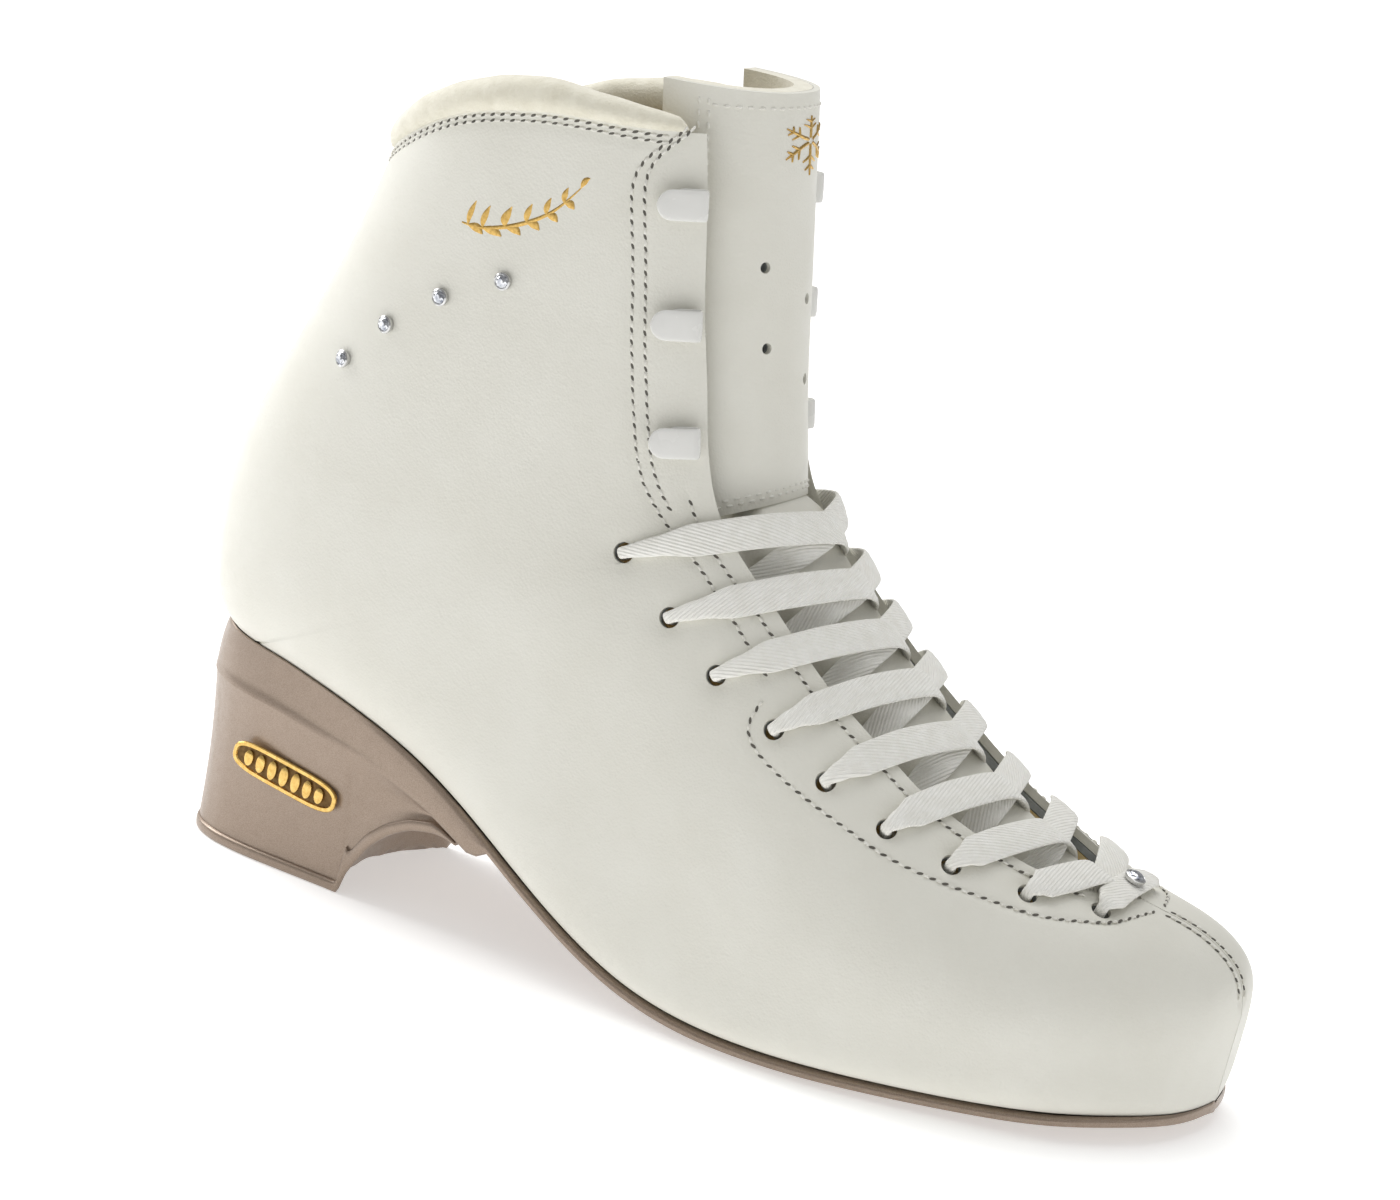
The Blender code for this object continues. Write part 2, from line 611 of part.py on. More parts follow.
UPPER_TONGUE = {
    "tongue_upper_leather": (TONGUE_LEATHER, WHITE),
    "tongue_upper_foam": (TONGUE_FOAM, GREY),
    "tongue_upper_lining": (TONGUE_LINING, CREAM),
}
for name, ((near, far), look) in UPPER_TONGUE.items():
    sheet(name, [[tongue_point(r, s, near) for s in ACROSS] for r in UP_ROWS],
          [[tongue_point(r, s, far) for s in ACROSS] for r in UP_ROWS], look)


def lower_tongue_point(station, share, inset):
    """Lower tongue: close under the lacing gap, deeper under the facings."""
    gap = float(half_gap(station))
    across = abs(share) * min(30.0, gap + 7.0)
    sink = np.clip((across - gap + 10.0) / 8.0, 0.0, 1.0)
    sink = sink * sink * (3 - 2 * sink)
    depth = LOWER_TONGUE_MIDDLE + (LOWER_TONGUE_SIDE - LOWER_TONGUE_MIDDLE) * sink + inset
    angle = math.copysign(float(angle_at(station, across)), -share)
    return skin(station, angle) - outward(station, angle)[0] * depth


LOWER_TONGUE = {
    "tongue_lower_leather": (TONGUE_LEATHER, WHITE),
    "tongue_lower_foam": (TONGUE_FOAM, GREY),
    "tongue_lower_lining": (TONGUE_LINING, CREAM),
}
for name, ((near, far), look) in LOWER_TONGUE.items():
    sheet(name, [[lower_tongue_point(r, s, near) for s in ACROSS] for r in LOWER_TONGUE_ROWS],
          [[lower_tongue_point(r, s, far) for s in ACROSS] for r in LOWER_TONGUE_ROWS], look)

# ------------------------------------------------------------------ hooks, rivets, crystals

HOOK_PATH = [(0.0, 0.35), (0.35, 0.35), (0.7, 0.35), (0.93, 0.5), (1.0, 1.3), (1.0, 2.3), (0.93, 3.1),
             (0.7, 3.35), (0.4, 3.3), (0.12, 3.25), (-0.08, 3.3), (-0.25, 3.45), (-0.33, 3.6)]
HOOK_WIDTHS = [5.2, 6.6, 7.0, 7.0, 7.0, 7.0, 7.0, 7.0, 7.0, 6.9, 6.3, 4.8, 2.4]
HOOK_THICK = 0.8
for side in SIDES:
    sign = SIDES[side][0]
    for number, station in enumerate(HOOK_STATIONS, 1):
        spot, normal, up = rivet_spots(side)[number - 1]
        forward = unit(np.cross(normal, up)) * -sign
        reach = HOOK_REACH[1] - HOOK_REACH[0]
        fold = skin(station, sign * float(angle_at(station, HOOK_REACH[0])))
        length = np.dot(fold - spot, forward)
        rings = []
        path = [spot + forward * (length - (1.0 - f) * reach * 1.25) + normal * h for f, h in HOOK_PATH]
        for n, (point, wide) in enumerate(zip(path, HOOK_WIDTHS)):
            run = unit(path[min(n + 1, len(path) - 1)] - path[max(n - 1, 0)])
            across = up * wide / 2
            thick = unit(np.cross(run, up)) * HOOK_THICK / 2
            rings.append([point + across + thick, point - across + thick,
                          point - across - thick, point + across - thick])
        offset = normal * HOOK_THICK / 2
        hook = ring_loft(f"hook_{side}_{number}", np.array(rings) + offset, ENAMEL)
        cut = joined_cylinders(f"cut_hook_{side}_{number}", [(spot, normal, up)], RIVET_RADIUS + 0.2,
                               (1.0, 2.2), 10)
        subtract(hook, cut)
        head = HOOK_THICK + 0.75
        turned(f"rivet_{side}_{number}", spot, normal, up,
               [(-6.3, 2.3), (-5.3, 2.3), (-5.3, RIVET_RADIUS), (head, RIVET_RADIUS), (head, 2.2),
                (head + 0.35, 1.9), (head + 0.55, 1.0)], STEEL, 10)

for number, (station, angle) in enumerate(CRYSTALS, 1):
    spot, normal, up = wall_spot(station, angle)
    spot = spot + normal * 0.35
    turned(f"crystal_setting_{number}", spot, normal, up,
           [(0.0, CRYSTAL_RADIUS + 0.5), (0.9, CRYSTAL_RADIUS + 0.5), (1.1, CRYSTAL_RADIUS + 0.2),
            (0.4, CRYSTAL_RADIUS + 0.1)], STEEL, 10)
    turned(f"crystal_{number}", spot, normal, up,
           [(0.55, 1.2), (0.95, CRYSTAL_RADIUS - 0.1), (1.2, CRYSTAL_RADIUS - 0.1), (1.8, 1.1)],
           CRYSTAL, 8)

# ------------------------------------------------------------------ lace

ON_TOP = -1.55          # depth of the lace's middle on the leather
UNDER_EDGE = 6.9        # depth of the lace's middle under the facings
CROSS_OVER = -2.3
CROSS_UNDER = -0.3


def lace_point(station, across, depth):
    """Place across the gap, at a depth along the normal; positive lies on the lateral side."""
    angle = math.copysign(float(angle_at(station, abs(across))), across)
    return skin(station, angle) - outward(station, angle)[0] * depth


def strand(start, end, side, middle):
    """Way points from the outside of one eyelet, over, then under the other edge to the next."""
    (s0, a0), (s1, a1) = start, end

    def at(share, depth, neck):
        across = side * (a0 - (a0 + a1) * share)
        station = s0 + (s1 - s0) * share
        return (lace_point(station, across, depth), neck)

    total = a0 + a1
    under = 1.0 - (a1 - float(half_gap(s1)) + 2.0) / total
    return [at(0.0, -0.4, 0.0), at(0.04, ON_TOP, 0.35), at(0.11, ON_TOP, 1.0),
            at(0.25, ON_TOP, 1.0), at(0.5, middle, 1.0), at(0.5 + 0.5 * (under - 0.5), 1.2, 0.95),
            at(under, UNDER_EDGE - 0.2, 0.8), at(under + 0.5 * (1 - under), UNDER_EDGE, 0.6),
            at(0.98, UNDER_EDGE - 0.1, 0.1), at(1.0, 5.6, 0.0), at(1.0, 2.2, 0.0)]


def lace_route():
    """One lace, both ends tucked inside the cuff behind the top eyelets."""
    def tail(side):
        station, across = EYELETS[0]
        base = float(angle_at(station, across))
        points = []
        for turn, depth, wide in ((0.66, 12.0, 0.4), (0.5, 9.5, 1.0), (0.28, 7.2, 1.0),
                                  (0.12, 6.7, 0.8), (0.02, 6.6, 0.1), (0.0, 5.0, 0.0), (0.0, 2.2, 0.0)):
            t, angle = station + 0.6 * turn, side * (base + turn)
            points.append((skin(t, angle) - outward(t, angle)[0] * depth, wide))
        return points

    def run(sequence_side):
        points = []
        side = sequence_side
        for k in range(len(EYELETS) - 1):
            middle = CROSS_OVER if side > 0 else CROSS_UNDER
            points += strand(EYELETS[k], EYELETS[k + 1], side, middle)
            side = -side
        return points, side

    first, side_a = run(1.0)
    second, side_b = run(-1.0)
    station, across = EYELETS[-1]
    bar = []
    for share in (1.0, 0.93, 0.75, 0.5, 0.25, 0.0, -0.25, -0.5, -0.75, -0.93, -1.0):
        wide = 0.0 if abs(share) == 1.0 else 0.4 if abs(share) > 0.9 else 0.85
        depth = -0.5 if abs(share) == 1.0 else ON_TOP if abs(share) > 0.7 else ON_TOP - 0.5
        bar.append((lace_point(station, side_a * across * share, depth), wide))
    return tail(1.0) + first + bar + second[::-1] + tail(-1.0)[::-1]


def smooth_route(points):
    """Hermite curve through the way points, with a middle step in the long spans."""
    places = np.array([p for p, _ in points])
    widths = np.array([w for _, w in points])
    keep_places, keep_widths = [], []
    for n in range(len(places) - 1):
        a, b = places[max(n - 1, 0)], places[n]
        c, d = places[n + 1], places[min(n + 2, len(places) - 1)]
        span = np.linalg.norm(c - b)
        m0 = (c - a) / max(np.linalg.norm(c - a), 1e-6) * span * 0.8
        m1 = (d - b) / max(np.linalg.norm(d - b), 1e-6) * span * 0.8
        for f in ((0.0, 0.5) if span > 7.5 else (0.0,)):
            h = (2 * f ** 3 - 3 * f ** 2 + 1, f ** 3 - 2 * f ** 2 + f, -2 * f ** 3 + 3 * f ** 2,
                 f ** 3 - f ** 2)
            keep_places.append(h[0] * b + h[1] * m0 + h[2] * c + h[3] * m1)
            keep_widths.append(widths[n] + (widths[n + 1] - widths[n]) * f)
    keep_places.append(places[-1])
    keep_widths.append(widths[-1])
    return np.array(keep_places), np.array(keep_widths)


def along_boot(point):
    """Direction up the fan near a point of the lacing, in the middle plane."""
    stations = np.linspace(2.0, 11.0, 91)
    crest = skin(stations, np.zeros_like(stations), 0.0)
    nearest = int(np.argmin(np.linalg.norm(crest[:, [0, 2]] - point[[0, 2]], axis=1)))
    low, high = max(nearest - 3, 0), min(nearest + 3, len(stations) - 1)
    return unit(crest[high] - crest[low])


route, widths = smooth_route(lace_route())
rings = []
for n, (point, wide) in enumerate(zip(route, widths)):
    run = unit(route[min(n + 1, len(route) - 1)] - route[max(n - 1, 0)])
    lengthwise = along_boot(point)
    side = unit(lengthwise - run * np.dot(lengthwise, run))
    flat = np.cross(run, side)
    half_wide = 0.5 * (LACE_NECK + (LACE_WIDE - LACE_NECK) * wide)
    half_thick = 0.5 * LACE_THICK
    rings.append([point + side * half_wide * u + flat * half_thick * v
                  for u, v in ((1, 1), (-1, 1), (-1, -1), (1, -1))])
ring_loft("lace", rings, LACE)

for name, end, before in (("aglet_lateral", route[0], route[1]), ("aglet_medial", route[-1], route[-2])):
    axis = unit(end - before)
    turned(name, end + axis * 0.3, axis, np.array([0.0, 0.0, 1.0]),
           [(0.0, 1.3), (0.4, 1.5), (21.0, 1.5), (22.0, 0.9)], ENAMEL, 8)

bar_middle = lace_point(EYELETS[-1][0], 0.0, ON_TOP - 0.5)
normal, up = outward(EYELETS[-1][0], 0.0)
spot = bar_middle + normal * (LACE_THICK / 2 + 0.6)
turned("lace_jewel_setting", spot, normal, up, [(0.0, 2.7), (0.9, 2.7), (1.2, 2.2), (0.4, 2.1)], STEEL, 10)
turned("lace_jewel", spot, normal, up, [(0.55, 1.3), (1.0, 1.9), (1.3, 1.9), (2.0, 1.1)], CRYSTAL, 8)
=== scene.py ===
"""Looks of a right-foot figure skating boot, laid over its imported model.

Tables are in millimetres: toe along +X, outer (lateral) side at -Y. SHIFT takes them to the part's frame.
The upper is a fan of cross-sections numbered from the toe tip (0) to above the collar (16), and
each wall layer is that fan moved inwards by a depth.
"""
import math

import bpy
import numpy as np
from mathutils import Matrix, Vector, kdtree


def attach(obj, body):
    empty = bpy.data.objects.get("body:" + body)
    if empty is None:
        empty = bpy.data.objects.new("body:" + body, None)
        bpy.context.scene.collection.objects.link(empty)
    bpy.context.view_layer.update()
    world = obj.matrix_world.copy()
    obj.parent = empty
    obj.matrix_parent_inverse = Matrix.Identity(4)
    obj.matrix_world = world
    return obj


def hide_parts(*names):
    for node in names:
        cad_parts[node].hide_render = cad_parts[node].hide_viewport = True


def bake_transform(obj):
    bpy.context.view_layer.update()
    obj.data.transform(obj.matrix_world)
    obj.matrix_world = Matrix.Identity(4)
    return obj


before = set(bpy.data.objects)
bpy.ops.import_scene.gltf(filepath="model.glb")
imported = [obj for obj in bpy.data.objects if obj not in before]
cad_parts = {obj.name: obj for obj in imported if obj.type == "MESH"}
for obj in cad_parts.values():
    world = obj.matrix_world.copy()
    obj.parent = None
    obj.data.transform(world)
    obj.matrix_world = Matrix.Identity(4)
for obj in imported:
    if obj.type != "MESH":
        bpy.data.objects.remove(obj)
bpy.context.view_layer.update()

# ------------------------------------------------------------------ camera

CAMERA_PLACE = (0.40866, -0.83883, 0.344)
CAMERA_AZIMUTH = math.radians(26.4)
CAMERA_ELEVATION = math.radians(15.2)
CAMERA_ROLL = math.radians(9.4)
CAMERA_LENS = 107.3


def make_camera():
    a, e, r = CAMERA_AZIMUTH, CAMERA_ELEVATION, CAMERA_ROLL
    back = Vector((math.sin(a) * math.cos(e), -math.cos(a) * math.cos(e), math.sin(e)))
    level = Vector((math.cos(a), math.sin(a), 0.0))
    above = back.cross(level)
    right = level * math.cos(r) + above * math.sin(r)
    up = above * math.cos(r) - level * math.sin(r)
    data = bpy.data.cameras.new("camera")
    data.lens = CAMERA_LENS
    data.sensor_width = 36.0
    data.clip_end = 20.0
    made = bpy.data.objects.new("camera", data)
    made.matrix_world = Matrix.Translation(CAMERA_PLACE) @ Matrix((right, up, back)).transposed().to_4x4()
    bpy.context.scene.collection.objects.link(made)
    bpy.context.scene.camera = made


make_camera()

# ------------------------------------------------------------------ driving dimensions (mm)

SHIFT = np.array([1.38, 1.30, 0.0])     # from the fan's frame to the part's frame

# bottom/back point x z, top/front point x z, half width, centre y, level of the widest
# point (0 bottom .. 1 top), roundness of the bottom part, roundness of the top part
STATIONS = np.array([
    [132.3,   6.6, 134.2,  28.0,  0.0, 14.6, 0.45, 4.0, 2.6],
    [129.0,   5.6, 131.5,  38.2, 17.0, 13.4, 0.44, 4.5, 2.5],
    [119.0,   5.0, 120.9,  46.4, 28.5,  9.5, 0.42, 5.0, 2.4],
    [100.0,   4.2, 106.5,  51.5, 38.0,  4.0, 0.38, 5.0, 2.3],
    [70.0,    3.2,  90.0,  58.5, 42.8,  0.5, 0.32, 6.0, 2.3],
    [38.0,    2.6,  73.0,  67.5, 44.0, -2.0, 0.34, 7.0, 2.4],
    [4.0,     5.8,  57.0,  78.5, 42.0, -2.0, 0.40, 6.5, 2.5],
    [-30.0,  20.5,  42.0,  90.0, 39.0, -1.0, 0.46, 6.0, 2.5],
    [-68.5,  39.5,  28.5, 102.0, 38.0,  0.0, 0.50, 4.5, 2.5],
    [-112.5, 48.0,  18.5, 114.0, 38.0,  0.0, 0.52, 2.8, 2.4],
    [-133.6, 57.5,  13.5, 124.0, 38.0,  0.0, 0.52, 2.5, 2.3],
    [-137.0, 81.5,  10.0, 136.0, 38.0,  0.0, 0.50, 2.4, 2.3],
    [-132.5, 104.0,  7.0, 149.5, 38.0,  0.0, 0.50, 2.3, 2.3],
    [-121.0, 130.0,  2.5, 165.5, 38.0,  0.0, 0.50, 2.3, 2.3],
    [-110.0, 155.0, -1.5, 185.5, 38.0,  0.0, 0.50, 2.3, 2.3],
    [-101.5, 180.0, -6.0, 205.5, 38.0,  0.0, 0.50, 2.3, 2.3],
    [-95.0,  202.0, -10.0, 223.5, 38.0, 0.0, 0.50, 2.3, 2.3],
])
GAP_STATION = [2.85, 3.0, 3.4, 4.0, 4.6, 5.5, 7.0, 10.0, 15.6]
GAP_HALF = [0.0, 5.0, 10.5, 15.5, 18.5, 21.5, 23.0, 23.5, 25.0]

LEATHER = (0.0, 1.9)
MIDDLE = (2.1, 3.8)
LINING = (4.0, 5.4)         # runs a little deeper than the counter's flat facets behind it
SEAM_GAP = 0.15
SEAT_STATION = 9.3          # below this the wall stops at the lasting margin
MARGIN_ANGLE = 2.85
CUFF_STATION = 12.5         # above this the rows lean towards the arched collar line

EYELETS = [(9.5, 33.5), (8.4, 34.0), (7.65, 34.0), (6.9, 33.0), (6.15, 33.0), (5.35, 31.5),
           (4.6, 28.0), (3.8, 22.0), (3.05, 13.0)]
EYELET_RADIUS = 2.4
EYELET_DIMPLE = (1.25, 3.6)  # depth and reach of the hollow that the lace pulls round an eyelet
HOOK_STATIONS = [14.15, 12.85, 11.2]
HOOK_REACH = (24.9, 31.6)
HOOK_WIDTH = 7.0
HOOK_THICK = 0.9
RIVET_RADIUS = 1.1
CRYSTALS = [(12.67, 2.05), (13.03, 1.90), (13.31, 1.70), (13.45, 1.51)]
CRYSTAL_RADIUS = 1.65

SOLE_STATION = [0.06, 0.2, 0.5, 0.9, 1.4, 2.0, 2.5, 2.85, 3.5, 4.0, 4.6, 5.3, 6.0, 6.75, 7.2, 7.5,
                7.75, 8.0, 8.25, 8.5, 9.0, 9.3, 9.6, 9.78, 9.88, 9.93]
SOLE_HALF = [0.8, 2.6, 6.8, 12.6, 19.0, 25.0, 28.7, 30.3, 33.5, 36.4, 38.3, 37.8, 35.2, 32.6, 31.6,
             31.1, 30.7, 30.3, 29.9, 29.3, 26.5, 23.0, 17.5, 11.5, 6.0, 1.5]
SOLE_UNDER = [(-137.0, 42.0), (-107.0, 41.0), (-90.0, 38.5), (-72.0, 35.0), (-58.0, 30.5),
              (-46.0, 24.8), (-30.0, 16.8), (-12.0, 8.6), (4.0, 3.2), (15.0, 0.9), (26.0, 0.1),
              (32.0, 0.0), (88.0, 0.0), (100.0, 0.6), (112.0, 1.6), (122.0, 2.6), (136.0, 4.2)]
SOLE_GAP = 0.35
SOLE_RIM = ([7.3, 7.55], [2.5, 20.0])    # thickness of the sole's edge along the fan
SOLE_FLAT = 0.55            # share of the width that lies flat before the underside rises to the rim
# the sole's thin edge: share of the way down, how far it stands out
SOLE_EDGE = [(0.0, 0.5), (0.1, 1.2), (0.4, 1.5), (0.75, 1.5), (0.92, 1.3), (1.0, 0.8)]
BAND_LEAN = 2.6             # how far the heel band runs back on its way down
BAND_LIP = 0.35             # lip where the band meets the heel

HEEL_X = (-133.7, -47.0)
HEEL_TOP_HALF = [(-133.7, 1.5), (-133.2, 6.0), (-132.4, 10.0), (-130.0, 14.5), (-126.0, 18.5),
                 (-119.0, 23.0), (-109.0, 26.5), (-97.0, 28.5), (-82.0, 29.5), (-47.0, 30.5)]
HEEL_FOOT_HALF = [(-133.7, 1.5), (-133.2, 6.0), (-132.4, 9.5), (-130.0, 13.5), (-126.0, 17.0),
                  (-119.0, 20.3), (-109.0, 22.4), (-97.0, 23.6), (-82.0, 25.0), (-72.0, 27.0),
                  (-47.0, 30.5)]
HEEL_ARCH = [(-200.0, 0.0), (-81.0, 0.0), (-79.0, 5.0), (-76.5, 9.0), (-72.0, 15.0), (-66.0, 20.0),
             (-59.0, 23.2), (-52.0, 24.3), (-47.0, 23.6)]
HEEL_HOLLOW = 8.0
BEAD_HEIGHT = 2.8
BEAD_OUT = 1.1
HEEL_WAIST = 1.2
BADGE_CENTRE = np.array([-99.0, -26.2, 24.5])
BADGE_SIZE = (32.0, 8.0)
BADGE_LEAN = math.radians(-8.0)
BADGE_BARS = 7

COLLAR_HEIGHT = 7.5
COLLAR_START = 0.74
COLLAR_LIFT = 0.2
COLLAR_SECTION = [(-3.4, 0.0), (-1.2, -0.03), (2.2, 0.0), (3.4, 0.15), (3.8, 0.4), (3.4, 0.7), (2.0, 0.93),
                  (0.0, 1.02), (-2.2, 0.97), (-3.9, 0.8), (-4.8, 0.5), (-4.5, 0.2)]

TONGUE_HALF = 22.0
TONGUE_DEPTH = 25.0
TONGUE_CREST = np.array([
    [9.9, 119.0, 0.44],
    [8.0, 130.0, 0.40],
    [6.1, 140.0, 0.34],
    [3.8, 155.0, 0.29],
    [1.8, 170.0, 0.25],
    [-0.6, 187.0, 0.20],
    [-2.8, 203.0, 0.12],
    [-4.0, 210.5, 0.02],
])
TONGUE_LEATHER = (0.0, 1.5)
TONGUE_FOAM = (1.6, 4.5)
TONGUE_LINING = (4.6, 5.8)
LOWER_TONGUE_ROWS = (3.6, 10.5)
LOWER_TONGUE_MIDDLE = 2.4
LOWER_TONGUE_SIDE = 9.0
LOWER_TONGUE_TUCK = 6.0     # its top end runs down behind the upper tongue
TONGUE_HOLES = [(4.15, -0.32), (2.95, -0.28), (3.6, 0.10), (2.4, 0.12), (4.15, 0.5), (2.95, 0.5)]
TONGUE_HOLE_RADIUS = 1.3

LACE_THICK = 1.5
LACE_WIDE = 7.8
LACE_NECK = 2.7
ON_TOP = -1.55
UNDER_EDGE = 6.9
CROSS_OVER = -2.3
CROSS_UNDER = -0.3

STITCH_PITCH = 2.7
STITCH_GROOVE = (0.32, 1.1)     # depth and reach of the groove that a row of stitches pulls in
STITCH_SINK = 0.22              # how far a row of stitches lies under the face
# rows of stitches on the wall: station, distance from the middle
FACING_ROW = [(14.97, 27.6), (14.84, 29.5), (14.57, 32.9), (14.06, 33.3), (13.4, 32.6), (12.6, 32.1),
              (11.8, 31.6), (11.05, 31.1), (10.55, 30.6), (10.0, 29.7), (9.1, 28.8), (8.3, 29.2),
              (7.4, 30.0)]
FACING_INNER_END = 9.95         # the second row of the facing stops here
VAMP_ROW = [(7.22, 31.6), (7.1, 34.0), (6.85, 35.4), (6.36, 35.9), (5.9, 35.8), (5.5, 35.3), (5.1, 34.5),
            (4.6, 32.3), (4.1, 29.3), (3.5, 25.0), (3.05, 19.3), (2.75, 13.3), (2.55, 2.5)]
THROAT_INSET = 3.0

# ------------------------------------------------------------------ shape functions (mm)


def spline_rows(rows, at):
    """Natural cubic through evenly numbered rows."""
    rows = np.asarray(rows, float)
    count = len(rows)
    system = np.zeros((count, count))
    right = np.zeros_like(rows)
    system[0, 0] = system[-1, -1] = 1.0
    for i in range(1, count - 1):
        system[i, i - 1:i + 2] = (1.0, 4.0, 1.0)
        right[i] = 6.0 * (rows[i + 1] - 2.0 * rows[i] + rows[i - 1])
    bend = np.linalg.solve(system, right)
    at = np.clip(np.asarray(at, float), 0.0, count - 1.0)
    i = np.minimum(at.astype(int), count - 2)
    f = (at - i)[..., None]
    g = 1.0 - f
    return (g * rows[i] + f * rows[i + 1]
            + ((g ** 3 - g) * bend[i] + (f ** 3 - f) * bend[i + 1]) / 6.0)


def smooth_table(at, values, x):
    """Monotone cubic through a table, so no bump appears between its entries."""
    at, values, x = np.asarray(at, float), np.asarray(values, float), np.asarray(x, float)
    step = np.diff(at)
    slope = np.diff(values) / step
    product = slope[:-1] * slope[1:]
    total = np.where(product > 0, slope[:-1] + slope[1:], 1.0)
    inner = np.where(product > 0, 2.0 * product / total, 0.0)
    tangent = np.concatenate([slope[:1], inner, slope[-1:]])
    x = np.clip(x, at[0], at[-1])
    i = np.clip(np.searchsorted(at, x) - 1, 0, len(at) - 2)
    f = (x - at[i]) / step[i]
    return ((2 * f ** 3 - 3 * f ** 2 + 1) * values[i] + (f ** 3 - 2 * f ** 2 + f) * step[i] * tangent[i]
            + (3 * f ** 2 - 2 * f ** 3) * values[i + 1] + (f ** 3 - f ** 2) * step[i] * tangent[i + 1])


def unit(vectors):
    return vectors / np.maximum(np.linalg.norm(vectors, axis=-1, keepdims=True), 1e-9)


def section(t, depth=0.0):
    """Bottom point, top point, half width, centre and roundness of the fan at station t."""
    t = np.asarray(t, float)
    row = spline_rows(STATIONS, t)
    step = 0.02
    ahead = spline_rows(STATIONS, t + step)
    behind = spline_rows(STATIONS, t - step)
    bottom, top = row[..., 0:2], row[..., 2:4]
    run_bottom = unit((ahead - behind)[..., 0:2])
    run_top = unit((ahead - behind)[..., 2:4])
    inward_bottom = np.stack([-run_bottom[..., 1], run_bottom[..., 0]], -1)
    inward_top = np.stack([-run_top[..., 1], run_top[..., 0]], -1)
    inward_bottom *= np.sign(np.sum(inward_bottom * (top - bottom), -1, keepdims=True))
    inward_top *= np.sign(np.sum(inward_top * (bottom - top), -1, keepdims=True))
    depth = np.asarray(depth, float)
    bottom = bottom + inward_bottom * depth[..., None]
    top = top + inward_top * depth[..., None]
    width = np.maximum(row[..., 4] - depth * np.clip(t * 1.5, 0.0, 1.0), 0.0)
    return bottom, top, width, row[..., 5], row[..., 6], row[..., 7], row[..., 8]


def skin(t, angle, depth=0.0):
    """Point of the wall: angle 0 top/front, positive on the lateral side, pi bottom/back."""
    t, angle, depth = np.broadcast_arrays(np.asarray(t, float), angle, depth)
    bottom, top, width, middle, level, round_low, round_high = section(t, depth)
    c, s = np.cos(angle), np.sin(angle)
    power = np.where(c > 0, round_high, round_low)
    across = np.sign(s) * np.abs(s) ** (2.0 / power) * width
    rise = np.where(c > 0, level + (1 - level) * np.abs(c) ** (2.0 / round_high),
                    level - level * np.abs(c) ** (2.0 / round_low))
    xz = bottom + (top - bottom) * rise[..., None]
    return np.stack([xz[..., 0], middle - across, xz[..., 1]], -1)


def angle_at(t, across, depth=0.0, low=False):
    """Angle of the point at a distance from the middle, on the top or the bottom part."""
    _, _, width, _, _, round_low, round_high = section(np.asarray(t, float), depth)
    power = round_low if low else round_high
    share = np.clip(np.asarray(across, float) / np.maximum(width, 1e-6), 0.0, 1.0)
    angle = np.arcsin(share ** (power / 2.0))
    return math.pi - angle if low else angle


def outward(t, angle, depth=0.0):
    """Unit normal of the wall and unit direction up the fan."""
    step = 0.01
    up = skin(t + step, angle, depth) - skin(t - step, angle, depth)
    around = skin(t, angle + step, depth) - skin(t, angle - step, depth)
    return unit(np.cross(up, around)), unit(up)


def half_gap(t):
    return np.interp(t, GAP_STATION, GAP_HALF)


def collar_line(angle):
    """Station of the leather's top edge: low at the back, arched over the ankle sides."""
    a = np.abs(angle)
    arch = 0.5 * np.exp(-((a - 1.75) / 0.75) ** 2)
    medial_drop = 0.2 * np.where(np.asarray(angle) < 0, np.sin(a) ** 2, 0.0)
    return 14.8 + arch - medial_drop


def rounded(value, power):
    """Power of a sine or cosine that keeps its sign, for outlines between round and square."""
    return math.copysign(abs(value) ** power, value)


def smoothstep(x, low, high):
    f = np.clip((x - low) / (high - low), 0.0, 1.0)
    return f * f * (3 - 2 * f)


# ------------------------------------------------------------------ materials


def new_look(name, colour, roughness, metallic=0.0, **sockets):
    """Principled material; extra sockets are given as Coat_Weight=0.2 and so on."""
    made = bpy.data.materials.new(name)
    made.use_nodes = True
    shader = made.node_tree.nodes["Principled BSDF"]
    shader.inputs["Base Color"].default_value = (*colour, 1.0)
    shader.inputs["Roughness"].default_value = roughness
    shader.inputs["Metallic"].default_value = metallic
    for socket, value in sockets.items():
        shader.inputs[socket.replace("_", " ")].default_value = value
    return made


def add_node(look, kind, **values):
    made = look.node_tree.nodes.new(kind)
    for key, value in values.items():
        if key in made.inputs:
            made.inputs[key].default_value = value
        else:
            setattr(made, key, value)
    return made


def coordinates(look, attribute=None, stretch=(1.0, 1.0, 1.0)):
    """Object coordinates in metres, or a point attribute, stretched along each axis."""
    if attribute:
        source = add_node(look, "ShaderNodeAttribute", attribute_name=attribute).outputs["Vector"]
    else:
        source = add_node(look, "ShaderNodeTexCoord").outputs["Object"]
    scale = add_node(look, "ShaderNodeMapping")
    scale.inputs["Scale"].default_value = stretch
    look.node_tree.links.new(source, scale.inputs["Vector"])
    return scale.outputs["Vector"]


def noise(look, place, scale, detail=3.0, roughness=0.55):
    made = add_node(look, "ShaderNodeTexNoise", Scale=scale, Detail=detail, Roughness=roughness)
    look.node_tree.links.new(place, made.inputs["Vector"])
    return made.outputs["Fac"]


def cells(look, place, scale):
    made = add_node(look, "ShaderNodeTexVoronoi", Scale=scale)
    look.node_tree.links.new(place, made.inputs["Vector"])
    return made.outputs["Distance"]


def bands(look, place, scale, direction):
    made = add_node(look, "ShaderNodeTexWave", Scale=scale, Distortion=0.0)
    made.bands_direction = direction
    look.node_tree.links.new(place, made.inputs["Vector"])
    return made.outputs["Fac"]


